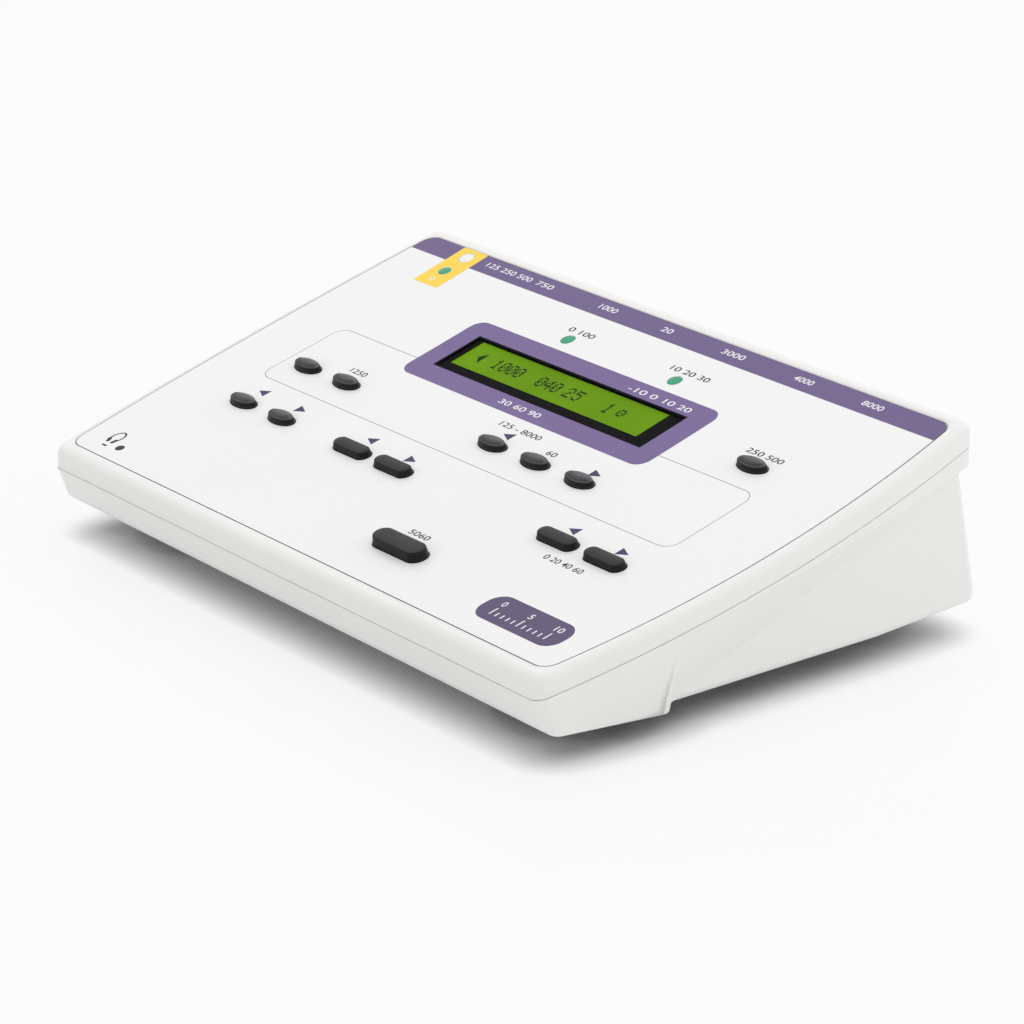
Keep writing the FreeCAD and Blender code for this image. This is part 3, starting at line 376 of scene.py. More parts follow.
def silicone(name, colour, crown, roughness=0.45):
    """Key rubber, darker on its sides and paler where it faces up: the crown colour is a painted highlight on
    the tops, and the darker sides are painted shade.
    """
    finish = Finish(name, colour, roughness, IOR=1.30)
    # Painted highlight: the colour turns from the rubber's own colour to the crown colour as the surface faces
    # up.
    facing = finish.node("ShaderNodeTexCoord", "Normal")
    upward = finish.node("ShaderNodeSeparateXYZ", "Z", {"Vector": facing})
    finish.blend(finish.ranged(upward, start=0.45, end=0.97), colour, crown)
    return finish.worn(mottle=(0.0015, 0.05), relief=(0.0003, 0.000008))


def bare_metal(name, colour, roughness):
    """Drawn or turned metal with uneven gloss."""
    finish = Finish(name, colour, roughness, Metallic=1.0)
    return finish.worn(tint=(0.004, 0.08), mottle=(0.001, 0.06), relief=(0.0004, 0.000003, 1.0))


def lacquered_board(name, colour):
    """Circuit board: lacquer over the shadow of its tracks."""
    tracks_per_metre, paler = 260.0, 1.9
    finish = Finish(name, colour, 0.32)
    away = finish.node("ShaderNodeTexVoronoi", "Distance", {
        "Scale": tracks_per_metre, "Vector": finish.place}, feature="DISTANCE_TO_EDGE", distance="MANHATTAN")
    finish.blend(finish.ranged(away, start=0.05, end=0.07), tuple(c * paler for c in colour), colour)
    return finish.worn(relief=(0.0006, 0.00001))


def dress(node, material):
    """Gives a CAD node its finish."""
    slots = frame["nodes"][node].data.materials
    slots.clear()
    slots.append(material)


# ---- meshes

def linked(data, name):
    piece = bpy.data.objects.new(name, data)
    bpy.context.scene.collection.objects.link(piece)
    return piece


def joined_bmesh(mesh, reach):
    """Copy of a mesh to work on, with points nearer than the reach made one."""
    bm = bmesh.new()
    bm.from_mesh(mesh)
    bmesh.ops.remove_doubles(bm, verts=bm.verts, dist=reach)
    return bm


def mesh_from(bm, name):
    mesh = bpy.data.meshes.new(name)
    bm.to_mesh(mesh)
    bm.free()
    return mesh


def shaded(mesh, material, sharp_from):
    """The mesh in its finish, shaded smooth between edges under this many degrees, or flat for none."""
    mesh.materials.clear()
    mesh.materials.append(material)
    if sharp_from:
        mesh.shade_smooth()
        mesh.set_sharp_from_angle(angle=math.radians(sharp_from))
    return mesh


def mesh_piece(bm, name, material, smooth=True):
    """Object from a bmesh whose points are already in place."""
    bmesh.ops.recalc_face_normals(bm, faces=bm.faces)
    return linked(shaded(mesh_from(bm, name), material, sharp_from=38.0 if smooth else None), name)


def settled(piece):
    """The piece as a plain mesh, with its modifiers and its place worked in."""
    view = bpy.context.evaluated_depsgraph_get()
    mesh = bpy.data.meshes.new_from_object(piece.evaluated_get(view))
    mesh.transform(piece.matrix_world)
    name = piece.name
    bpy.data.objects.remove(piece)
    mesh.name = name
    return linked(mesh, name)


def rounded_outline(length, width, radius, steps=8):
    """Points of a rounded rectangle round the origin, anticlockwise."""
    points = []
    for turn, (sx, sy) in enumerate(((1, 1), (-1, 1), (-1, -1), (1, -1))):
        centre = Vector((sx * (length / 2 - radius), sy * (width / 2 - radius)))
        for step in range(steps + 1):
            angle = math.radians(90.0) * (turn + step / steps)
            points.append(centre + radius * Vector((math.cos(angle), math.sin(angle))))
    return points


def ellipse(place, long, across, steps=52):
    """Outline of an ellipse, with as many points as a rounded outline of twelve steps."""
    turns = [math.tau * i / steps for i in range(steps)]
    return [(place[0] + long * math.cos(a), place[1] + across * math.sin(a)) for a in turns]


def disc(place, radius, steps=28):
    return ellipse(place, radius, radius, steps)


def shifted(points, place):
    return [(p[0] + place[0], p[1] + place[1]) for p in points]


def block(x0, x1, y0, y1, radius=0.0):
    """Outline of a rectangle, with round corners where a radius is given."""
    if not radius:
        return [(x0, y0), (x1, y0), (x1, y1), (x0, y1)]
    return shifted(rounded_outline(x1 - x0, y1 - y0, radius), ((x0 + x1) / 2, (y0 + y1) / 2))


def pane(centre, size, inset=0.0):
    """Outline of a rectangle round a centre, drawn in by an inset."""
    (x, y), wide, deep = centre, size[0] / 2 - inset, size[1] / 2 - inset
    return block(x - wide, x + wide, y - deep, y + deep)


def level(points, height):
    """Flat ring of plan points at a height, in millimetres."""
    return [Vector((p[0], p[1], height)) for p in points]


def stacked(rings, hollow=False):
    """Skin over rings of points, bottom ring first. A hollow one joins its last ring to its first."""
    bm = bmesh.new()
    levels = [[bm.verts.new(point) for point in ring] for ring in rings]
    pairs = list(zip(levels, levels[1:]))
    if hollow:
        pairs.append((levels[-1], levels[0]))
    for low, high in pairs:
        for i in range(len(low)):
            j = (i + 1) % len(low)
            bm.faces.new((low[i], low[j], high[j], high[i]))
    if not hollow:
        bm.faces.new(list(reversed(levels[0])))
        bm.faces.new(levels[-1])
    return bm


def turned(profile, steps=48, hollow=False):
    """Piece turned round the Z axis, from a profile of (radius, height). Its ends are flat unless hollow."""
    return stacked([level(disc((0, 0), radius, steps), height) for radius, height in profile], hollow)


def made(bm, name, material, place=Matrix(), smooth=True):
    """Piece from a bmesh in millimetres, put in its place."""
    bm.transform(place @ Matrix.Scale(MM, 4))
    return mesh_piece(bm, name, material, smooth)


def prism(name, outlines, low, high, material, place=Matrix()):
    """Straight piece between two heights, from an outer outline and the outlines of its holes."""
    flat = flat_fill(outlines, name)
    bm = joined_bmesh(flat.data, FLAT_REACH)
    bpy.data.objects.remove(flat)
    raised = bmesh.ops.extrude_face_region(bm, geom=bm.faces[:])["geom"]
    upper = {item for item in raised if isinstance(item, bmesh.types.BMVert)}
    for vert in bm.verts:
        vert.co.z = (high if vert in upper else low) * MM
    bm.transform(place)
    return mesh_piece(bm, name, material)


def cut_away(piece, cutter):
    """The piece less the cutter."""
    carve = piece.modifiers.new("Cut", "BOOLEAN")
    carve.operation = "DIFFERENCE"
    carve.object = cutter
    bpy.context.view_layer.update()
    piece = settled(piece)
    bpy.data.objects.remove(cutter)
    return piece


def islands(mesh):
    """Lowest and highest corner of each separate solid of a mesh."""
    bm = joined_bmesh(mesh, MESH_REACH)
    left = set(bm.verts)
    boxes = []
    while left:
        reached, edge = set(), [left.pop()]
        while edge:
            vert = edge.pop()
            reached.add(vert)
            near = [link.other_vert(vert) for link in vert.link_edges]
            fresh = [other for other in near if other in left]
            left.difference_update(fresh)
            edge.extend(fresh)
        axes = list(zip(*(vert.co for vert in reached)))
        boxes.append((Vector([min(axis) for axis in axes]), Vector([max(axis) for axis in axes])))
    bm.free()
    return sorted(boxes, key=lambda box: tuple(box[0]))


def merged(pieces, name):
    """Several pieces as one."""
    bm = bmesh.new()
    for piece in pieces:
        bm.from_mesh(piece.data)
    material = pieces[0].data.materials[0]
    for piece in pieces:
        bpy.data.objects.remove(piece)
    return mesh_piece(bm, name, material)


def stand_for(piece, node):
    """The piece takes the place of a CAD node and moves as it does."""
    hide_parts(node)
    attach(piece, body_of(frame["nodes"][node])[0])


def smoothed_copy(node, material, name):
    """Copy of a CAD node with its points merged and its curves shaded as curves."""
    mesh = mesh_from(joined_bmesh(frame["nodes"][node].data, MESH_REACH), name)
    piece = linked(shaded(mesh, material, sharp_from=24.0), name)
    piece.modifiers.new("Even shading", "WEIGHTED_NORMAL").keep_sharp = True
    stand_for(settled(piece), node)


# ---- node trees

def new_tree(name, inputs):
    """Geometry tree with its named inputs, of which the material is the last, and what they give."""
    tree = bpy.data.node_groups.new(name, "GeometryNodeTree")
    for label, kind, default in (("Geometry", "Geometry", None), *inputs, ("Material", "Material", None)):
        socket = tree.interface.new_socket(label, in_out="INPUT", socket_type="NodeSocket" + kind)
        if default is not None:
            socket.default_value = default
    tree.interface.new_socket("Geometry", in_out="OUTPUT", socket_type="NodeSocketGeometry")
    return tree, tree.nodes.new("NodeGroupInput").outputs


def finish_tree(tree, geometry, start):
    """Realizes the instances, sets the material and ends the tree."""
    real = add_node(tree, "GeometryNodeRealizeInstances", "Geometry", {"Geometry": geometry})
    dressed = add_node(tree, "GeometryNodeSetMaterial", "Geometry",
                       {"Geometry": real, "Material": start["Material"]})
    tree.links.new(dressed, tree.nodes.new("NodeGroupOutput").inputs["Geometry"])
    return tree


def deck_print_tree():
    """Lays flat artwork on the curved deck: each point takes the deck's height plus a lift."""
    tree, start = new_tree("Print on deck", (
        ("Centre Y", "Float", DECK_CENTRE_Y * MM), ("Centre Z", "Float", DECK_CENTRE_Z * MM),
        ("Radius", "Float", DECK_RADIUS * MM), ("Lift", "Float", 0.0)))
    less, times = partial(maths, tree, "SUBTRACT"), partial(maths, tree, "MULTIPLY")
    place = add_node(tree, "GeometryNodeInputPosition", "Position")
    x, y, z = add_node(tree, "ShaderNodeSeparateXYZ", "X", {"Vector": place}).node.outputs
    radius = less(less(start["Radius"], start["Lift"]), z)
    run = less(y, start["Centre Y"])
    drop = maths(tree, "SQRT", less(times(radius, radius), times(run, run)))
    height = less(start["Centre Z"], drop)
    bent = add_node(tree, "ShaderNodeCombineXYZ", "Vector", {"X": x, "Y": y, "Z": height})
    moved = add_node(tree, "GeometryNodeSetPosition", "Geometry",
                     {"Geometry": start["Geometry"], "Position": bent})
    return finish_tree(tree, moved, start)


def scatter_tree():
    """Puts one copy of an object at every point of a mesh, and keeps its own size and turn."""
    tree, start = new_tree("Copies at points", [("Copy", "Object", None)])
    copy = add_node(tree, "GeometryNodeObjectInfo", "Geometry", {"Object": start["Copy"]})
    copies = add_node(tree, "GeometryNodeInstanceOnPoints", "Instances",
                      {"Points": start["Geometry"], "Instance": copy})
    return finish_tree(tree, copies, start)


def through_tree(piece, name, maker, **values):
    """The piece as a plain mesh after the named geometry tree, with the tree's inputs set by name."""
    tree = bpy.data.node_groups.get(name) or maker()
    modifier = piece.modifiers.new(name, "NODES")
    modifier.node_group = tree
    for item in tree.interface.items_tree:
        if item.in_out == "INPUT" and item.name in values:
            modifier[item.identifier] = values[item.name]
    return settled(piece)


def at_points(name, points, small, material, place=Matrix(), smooth=True):
    """Copies of a small bmesh in millimetres at points, turned as its place is, as one piece."""
    master = made(small, "master", material, place.to_3x3().to_4x4(), smooth)
    bm = bmesh.new()
    for point in points:
        bm.verts.new(point)
    piece = through_tree(linked(mesh_from(bm, name), name), "Copies at points", scatter_tree,
                         Copy=master, Material=material)
    bpy.data.objects.remove(master)
    return piece


# ---- printing

def flat_fill(outlines, name):
    """Flat mesh between outlines, the first outside and the others inside it."""
    curve = bpy.data.curves.new(name, "CURVE")
    curve.dimensions = "2D"
    curve.fill_mode = "BOTH"
    for outline in outlines:
        spline = curve.splines.new("POLY")
        spline.points.add(len(outline) - 1)
        for point, place in zip(spline.points, outline):
            point.co = (place[0] * MM, place[1] * MM, 0.0, 1.0)
        spline.use_cyclic_u = True
    return settled(linked(curve, name))


def strips(piece, thickness=0.0):
    """Cuts flat artwork into strips, so that it can follow the deck, and may give it a thickness."""
    bm = joined_bmesh(piece.data, FLAT_REACH)
    low = min(v.co.y for v in bm.verts)
    high = max(v.co.y for v in bm.verts)
    y = math.ceil(low / STRIP) * STRIP
    while y < high:
        everything = bm.verts[:] + bm.edges[:] + bm.faces[:]
        bmesh.ops.bisect_plane(bm, geom=everything, plane_co=(0, y, 0), plane_no=(0, 1, 0))
        y += STRIP
    for face in bm.faces:
        if face.normal.z < 0:
            face.normal_flip()
    if thickness:
        upper = set(bm.verts)
        bmesh.ops.extrude_face_region(bm, geom=bm.faces[:])
        for vert in bm.verts:
            vert.co.z = 0.0 if vert in upper else -thickness * MM
        bmesh.ops.recalc_face_normals(bm, faces=bm.faces)
    bm.to_mesh(piece.data)
    bm.free()
    return piece


def on_deck(piece, lift, material):
    """Artwork or film, bent to the deck at a height over it."""
    piece = through_tree(piece, "Print on deck", deck_print_tree, Lift=lift * MM, Material=material)
    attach(piece, "case")
    return piece


def inked(piece, material, layer):
    """Flat artwork as ink on the panel film. A higher layer lies over a lower one."""
    on_deck(strips(piece), FILM_TOP + layer * settings().panel.ink_lift / MM, material)


def printed(name, outlines, material, layer=1):
    inked(flat_fill(outlines, name), material, layer)


def text_piece(name, text, height):
    """Plain figures as a flat outline of this height."""
    curve = bpy.data.curves.new(name, "FONT")
    curve.body = text
    curve.size = height * TEXT_SIZE * MM
    curve.offset = settings().panel.weight
    curve.align_x = curve.align_y = "CENTER"
    piece = linked(curve, name)
    bpy.context.view_layer.update()
    return piece


def figures(name, text, span, y, material, height=None, layer=1):
    """Plain figures printed on the panel, drawn to fill a span across it."""
    piece = text_piece(name, text, height or settings().panel.figure_height / MM)
    stretch = (span[1] - span[0]) * MM / piece.dimensions.x
    middle = Vector(((span[0] + span[1]) / 2, y, 0))
    piece.matrix_world = Matrix.Translation(middle * MM) @ Matrix.Diagonal((stretch, 1.0, 1.0, 1.0))
    bpy.context.view_layer.update()
    inked(settled(piece), material, layer)


def key_opening(place, size):
    """Outline of the opening that a key stands in."""
    room = KEY_HOLE_ROOM / 2
    length, width = size[0] + 2 * room, size[1] + 2 * room
    if size == SMALL_KEY:
        return ellipse(place, *oval(length, width))
    return shifted(stadium(length, width), place)


def oval(length, width):
    """Half axes of the ellipse that a small key has, a little over half its length and width."""
    return length / 2 + OVAL_GROWTH[0], width / 2 + OVAL_GROWTH[1]


def stadium(length, width):
    """Outline with round ends round the origin."""
    return rounded_outline(length, width, width / 2 - ARC_GAP, 12)


def bowed_outline(side, y0, y1, low, high):
    """Outline between bowed sides drawn in by a margin. Its corners have radius low in front, high behind."""
    corner_steps, side_steps = 6, 24
    turns = [math.radians(90.0) * i / corner_steps for i in range(corner_steps + 1)]
    right = []
    if low:
        right += [(low * math.sin(a), y0 + low * (1 - math.cos(a)), low) for a in turns[:-1]]
    length = y1 - high - y0 - low
    right += [(low, y0 + low + length * i / side_steps, low) for i in range(side_steps + 1)]
    if high:
        right += [(high * math.cos(a), y1 - high * (1 - math.sin(a)), high) for a in turns[1:]]
    half = []
    for reach, y, corner in right:
        wide = HALF_WIDTH - SIDE_BOW + math.sqrt((SIDE_BOW - side) ** 2 - (y - WIDEST_Y) ** 2)
        half.append((wide - corner + reach, y))
    return half + [(-x, y) for x, y in reversed(half)]


def film_outline(gap, front=None):
    """Outline of the film drawn in by a gap, or of the stripe of it behind a straight front edge."""
    y0 = FRONT_Y + FILM_MARGINS[1] + gap if front is None else front
    low = FILM_CORNER if front is None else 0.0
    return bowed_outline(FILM_MARGINS[0] + gap, y0, BACK_Y - FILM_MARGINS[2] - gap, low, FILM_CORNER)


# ---- operators

class AUDIOMETER_OT_stage(bpy.types.Operator):
    """Sets the floor, the lights, the world and the camera"""
    bl_idname = "audiometer.stage"
    bl_label = "Studio"

    # Name, place, size and power of the soft boxes, in metres and watts, and the point that they face.
    boxes = (("Top box", (-0.25, 0.35, 1.15), 1.1, 2.8), ("Front box", (-0.55, -1.05, 0.55), 0.9, 0.42),
             ("Side box", (0.90, 0.75, 0.60), 0.9, 2.0))
    lit_point = Vector((0.0, 0.0, 0.04))

    def execute(self, context):
        studio = settings().studio
        self.camera(context.scene, studio)
        self.world(context.scene, studio)
        self.floor()
        for name, place, size, power in self.boxes:
            self.soft_box(name, place, size, power * studio.soft_boxes)
        context.scene.view_settings.view_transform = "Standard"
        return {"FINISHED"}

    @staticmethod
    def camera(scene, studio):
        lens = bpy.data.cameras.new("Camera")
        lens.lens = studio.lens
        lens.sensor_width = 36.0
        lens.clip_start = 0.01
        level_reach = math.cos(studio.elevation)
        back = Vector((math.sin(studio.azimuth) * level_reach, -math.cos(studio.azimuth) * level_reach,
                       math.sin(studio.elevation)))
        camera = linked(lens, "Camera")
        camera.location = Vector(studio.aim) + back * studio.distance
        camera.rotation_euler = back.to_track_quat("Z", "Y").to_euler()
        scene.camera = camera

    @staticmethod
    def world(scene, studio):
        """Even fill light, with plain white where the camera or a reflection sees it."""
        world = bpy.data.worlds.new("Studio white")
        world.use_nodes = True
        tree = world.node_tree
        tree.nodes.clear()
        path = tree.nodes.new("ShaderNodeLightPath").outputs
        seen = maths(tree, "MAXIMUM", path["Is Camera Ray"], path["Is Transmission Ray"])
        seen = maths(tree, "MAXIMUM", seen, path["Is Glossy Ray"])
        fill, plain = (add_node(tree, "ShaderNodeBackground", "Background", {
            "Color": (1, 1, 1, 1), "Strength": strength}) for strength in (studio.fill, 1.0))
        mix = add_node(tree, "ShaderNodeMixShader", "Shader", {"Fac": seen, 1: fill, 2: plain})
        tree.links.new(mix, tree.nodes.new("ShaderNodeOutputWorld").inputs["Surface"])
        scene.world = world

    @staticmethod
    def floor():
        """Pale table top, near white to the camera, with a tight shadow where the object stands over it."""
        half_width, shadow_reach, own_light = 6.0, 0.016, 0.80
        bm = bmesh.new()
        bmesh.ops.create_grid(bm, x_segments=1, y_segments=1, size=half_width)
        finish = Finish("Table white", (0.98, 0.98, 0.98), 0.07, IOR=1.6)
        finish.relief(grain=0.05, depth=0.000001)
        # The camera's share is emission that dims with ambient occlusion within shadow_reach: a painted
        # contact shadow, over the real shadow of the lit share.
        near = finish.node("ShaderNodeAmbientOcclusion", "AO", {"Distance": shadow_reach}, samples=16)
        bright = finish.ranged(near, 0.0, 0.965, 0.29, 0.88)
        plain = finish.node("ShaderNodeEmission", "Emission", {"Color": (1, 1, 1, 1), "Strength": bright})
        seen = finish.node("ShaderNodeLightPath", "Is Camera Ray")
        share = maths(finish.tree, "MULTIPLY", seen, own_light)
        both = finish.node("ShaderNodeMixShader", "Shader", {
            "Fac": share, 1: finish.shader.outputs["BSDF"], 2: plain})
        finish.tree.links.new(both, finish.tree.nodes["Material Output"].inputs["Surface"])
        mesh_piece(bm, "table_top", finish.material, smooth=False)

    def soft_box(self, name, place, size, power):
        light = bpy.data.lights.new(name, "AREA")
        light.shape = "SQUARE"
        light.size = size
        light.energy = power
        lamp = linked(light, name)
        lamp.location = place
        lamp.visible_glossy = False
        lamp.rotation_euler = (Vector(place) - self.lit_point).to_track_quat("Z", "Y").to_euler()


class AUDIOMETER_OT_case(bpy.types.Operator):
    """Finishes the two halves of the case and lays the panel film in its recess"""
    bl_idname = "audiometer.case"
    bl_label = "Case and film"

    def execute(self, context):
        case = settings().case
        plastic = moulded("Shell plastic", case.colour, case.roughness, case.grain)
        smoothed_copy("top_cover", plastic, "upper_shell")
        smoothed_copy("bottom_case", plastic, "lower_shell")
        self.film_sheet()
        # The film's gap and the parting groove get dark rings of painted shade.
        self.parting_liner(self.film_seam())
        return {"FINISHED"}

    @staticmethod
    def film_sheet():
        """Film with its window and its openings for keys, lamps and microphone."""
        openings = [key_opening(place, size) for place, size in KEYS.values()]
        openings += [disc(place, radius + HOLE_ROOM) for place, radius in (*LAMPS.values(), MICROPHONE)]
        outlines = [film_outline(FILM_INSET), *openings, pane(WINDOW_CENTRE, WINDOW_SIZE)]
        flat = strips(flat_fill(outlines, "panel_film"), FILM_TOP - FILM_BOTTOM)
        sheet = on_deck(flat, FILM_TOP, film("Panel film", settings().panel.film))
        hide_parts("panel_overlay")

    @staticmethod
    def film_seam():
        """Dark ring in the gap at the film's edge: painted shade that makes a dark hairline where one looks
        into the gap. Returns its finish.
        """
        ring = [film_outline(inset) for inset in SEAM_INSETS]
        depth = 0.01
        flat = strips(flat_fill(ring, "film_adhesive"), FILM_TOP - FILM_BOTTOM - 2 * depth)
        shade = moulded("Seam shade", (0.030, 0.029, 0.026), 0.7, 0.0005)
        on_deck(flat, FILM_TOP - depth, shade)
        return shade

    @staticmethod
    def parting_liner(shade):
        """Dark ring at the foot of the groove between the halves: painted shade that darkens the parting line.
        """
        (outer, inner), (foot, top) = (0.15, 0.85), (-0.34, -0.01)
        rings = []
        for margin, lift in ((outer, foot), (outer, top), (inner, top), (inner, foot)):
            plan = bowed_outline(margin, FRONT_Y + margin, BACK_Y - margin, RIM_CORNER, RIM_CORNER)
            rings.append([Vector((x, y, parting_height(y) + lift)) for x, y in plan])
        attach(made(stacked(rings, hollow=True), "parting_liner", shade), "case")


class AUDIOMETER_OT_printing(bpy.types.Operator):
    """Prints the band, label, lines, triangles and plain figures on the film"""
    bl_idname = "audiometer.printing"
    bl_label = "Panel printing"

    # Places of the triangles, and text, span and place of the figures.
    arrows = {"down": ((-93.6, -25.5), (-33.1, -25.8), (5.4, -0.3), (69.8, -26.7)),
              "up": ((-72.6, -26.1), (-11.9, -27.0), (48.7, -1.2), (92.3, -27.1))}
    marks = {
        "scale": (("125 250 500", (-93.3, -69.3), 69.5), ("750", (-66.0, -57.5), 69.5),
                  ("1000", (-33.0, -24.3), 69.5), ("20", (-1.0, 4.2), 69.5), ("3000", (28.7, 39.2), 69.5),
                  ("4000", (63.0, 71.5), 69.5), ("8000", (94.0, 103.0), 69.5)),
        "key": (("1250", (-79.5, -71.3), 0.0), ("125 - 8000", (-4.3, 15.8), 3.7), ("60", (24.6, 29.0), -0.5),
                ("0 20 40 60", (73.2, 90.8), -41.5), ("5060", (24.5, 34.1), -55.2),
                ("250 500", (81.0, 97.2), 33.2), ("0 100", (-30.8, -18.2), 54.8),
                ("10 20 30", (20.2, 38.4), 54.8)),
        "surround": (("-10 0", (17.4, 31.0), 39.5), ("10 20", (34.0, 46.8), 39.5),
                     ("30 60 90", (-15.8, 4.6), 12.8)),
    }
    # Blocks of ink: left, right, front and rear edge, and corner radius.
    band_front = 64.8
    surround = (-64.6, 58.4, 8.7, 43.9, 4.8)
    surround_opening = (-56.1, 49.2, 16.7, 36.8)
    label = (-110.5, -97.5, 50.5, 73.7, 0.8)
    line_box = (-106.4, 103.6, -18.6, 16.9, 5.0)
    patch = (79.0, 116.4, -75.6, -62.6, 5.5)

    def execute(self, context):
        panel = settings().panel
        purple = film("Band ink", panel.purple, 0.40)
        paler, darker = 1.22, 0.62
        thin = film("Surround ink", tuple(paler * c for c in panel.purple), 0.40)
        dense = film("Patch ink", tuple(darker * c for c in panel.purple), 0.40)
        yellow = film("Label ink", panel.yellow, 0.40)
        ink = film("Figure ink", panel.ink, 0.45, 0.2)
        mark = film("Arrow ink", (0.060, 0.044, 0.130), 0.45, 0.25)
        white = film("White ink", (0.86, 0.85, 0.90), 0.45)
        grey = film("Line ink", (0.40, 0.39, 0.38), 0.45)
        talk, radius = LAMPS["talk_lamp"]
        opening = disc(MICROPHONE[0], MICROPHONE[1] + INK_ROOM)
        printed("printed_band", [film_outline(BAND_INSET, self.band_front), opening], purple)
        printed("display_surround", [block(*self.surround), block(*self.surround_opening)], thin)
        printed("microphone_label", [block(*self.label), disc(talk, radius + INK_ROOM), opening], yellow, 2)
        self.thin_line(panel.line_width / MM, grey)
        self.scale_patch(dense, white)
        for name, way in (("down", -1), ("up", 1)):
            for index, place in enumerate(self.arrows[name], 1):
                triangle = [(-1.5 * way, -2.0), (2.9 * way, 0.0), (-1.5 * way, 2.0)]
                printed(f"arrow_{name}_{index}", [shifted(triangle, place)], mark)
        for name, colour, layer in (("scale", white, 2), ("key", ink, 1), ("surround", white, 2)):
            for index, (text, span, y) in enumerate(self.marks[name], 1):
                figures(f"{name}_mark_{index}", text, span, y, colour, layer=layer)
        figures("label_mark", "0", (-105.3, -103.1), 53.9, white, 2.0, layer=3)
        self.earphone_sign(ink)
        return {"FINISHED"}

    def thin_line(self, width, grey):
        """Closed thin line round the upper keys and the display."""
        x0, x1, y0, y1, corner = self.line_box
        inner = block(x0 + width, x1 - width, y0 + width, y1 - width, corner - width)
        printed("thin_line", [block(*self.line_box), inner], grey, 0.5)

    def scale_patch(self, dense, white):
        """Patch at the right front corner with plain scale strokes and figures."""
        start, pitch, half, foot = 85.2, 2.5, 0.27, -72.6
        printed("scale_patch", [block(*self.patch)], dense)
        for index in range(11):
            x, tall = start + pitch * index, 2.0 if index % 5 else 3.6
            printed(f"scale_stroke_{index + 1}", [block(x - half, x + half, foot, foot + tall)], white, 2)
        for stroke in (0, 5, 10):
            x, reach = start + pitch * stroke, 0.85 * len(str(stroke))
            figures(f"scale_figure_{stroke}", str(stroke), (x - reach, x + reach), -66.6, white, 2.6, layer=2)

    @staticmethod
    def earphone_sign(ink):
        """Plain earphone sign: a bow, two cups that lean together, and a dot and a dash beside it."""
        (x, y), turns = (-112.4, -72.2), [math.radians(a) for a in range(-42, 223, 12)]
        bow = [(x + 2.6 * math.cos(a), y + 3.5 * math.sin(a)) for a in turns]
        bow += [(x + 1.95 * math.cos(a), y + 2.85 * math.sin(a)) for a in reversed(turns)]
        printed("earphone_bow", [bow], ink)
        for side, x, turn in (("left", -113.9, 0.5), ("right", -110.9, -0.15)):
            lean = Matrix.Rotation(turn, 2)
            cup = [lean @ point for point in rounded_outline(1.5, 2.9, 0.7, 4)]
            printed(f"earphone_cup_{side}", [shifted(cup, (x, -74.6))], ink)
        printed("earphone_dash", [block(-113.2, -110.6, -78.2, -77.4, 0.35)], ink)
        printed("earphone_dot", [disc((-105.2, -76.1), 1.65)], ink)


class AUDIOMETER_OT_keys(bpy.types.Operator):
    """Moulds the soft caps of the thirteen keys"""
    bl_idname = "audiometer.keys"
    bl_label = "Keys"

    def execute(self, context):
        keys = settings().keys
        # Both rubbers are painted paler on their upward faces, a painted highlight, and darker on their sides.
        plain = silicone("Key rubber", keys.colour, keys.crown)
        domed = silicone("Domed key rubber", keys.colour, keys.dome)
        for name, (place, size) in KEYS.items():
            self.cap(name, place, size, keys, domed if size == SMALL_KEY else plain)
        return {"FINISHED"}

    @staticmethod
    def cap(node, place, size, keys, rubber):
        """Cap with a low foot, leaning sides, a soft shoulder and a crowned top, over a hidden flange.

        A small cap is an ellipse, and the longer ones have round ends. The profile holds (inset, height)."""
        length, width, height = size
        small = size == SMALL_KEY
        shoulder, lean = keys.shoulder / MM, keys.lean / MM
        crown = 0.9 if small else 0.25
        seat, flange, flange_depth = DECK_THICKNESS + 0.1, 1.4, 1.2
        step_in, step_top, shoulder_steps = 0.12, 0.5, 4
        edge = height - crown - shoulder
        profile = [(-flange, -seat - flange_depth), (-flange, -seat), (0.0, -seat), (0.0, 0.25),
                   (step_in, 0.34), (step_in, step_top), (step_in + lean / 2, (step_top + edge) / 2),
                   (step_in + lean, edge)]
        for step in range(1, shoulder_steps + 1):
            turn = math.radians(90.0) * step / shoulder_steps
            inset = step_in + lean + shoulder * (1 - math.cos(turn))
            profile.append((inset, edge + shoulder * math.sin(turn)))
        start, rim = profile[-1]
        for share in (0.2, 0.4, 0.6, 0.8, 0.93):
            profile.append((start + (width / 2 - start) * share, rim + crown * (1 - (1 - share) ** 2)))
        rings = []
        for inset, z in profile:
            size = length - 2 * inset, width - 2 * inset
            outline = ellipse((0, 0), *oval(*size)) if small and inset >= 0.0 else stadium(*size)
            rings.append(level(outline, z))
        stand_for(made(stacked(rings), node.replace("_key", "_cap"), rubber, deck_frame(place)), node)


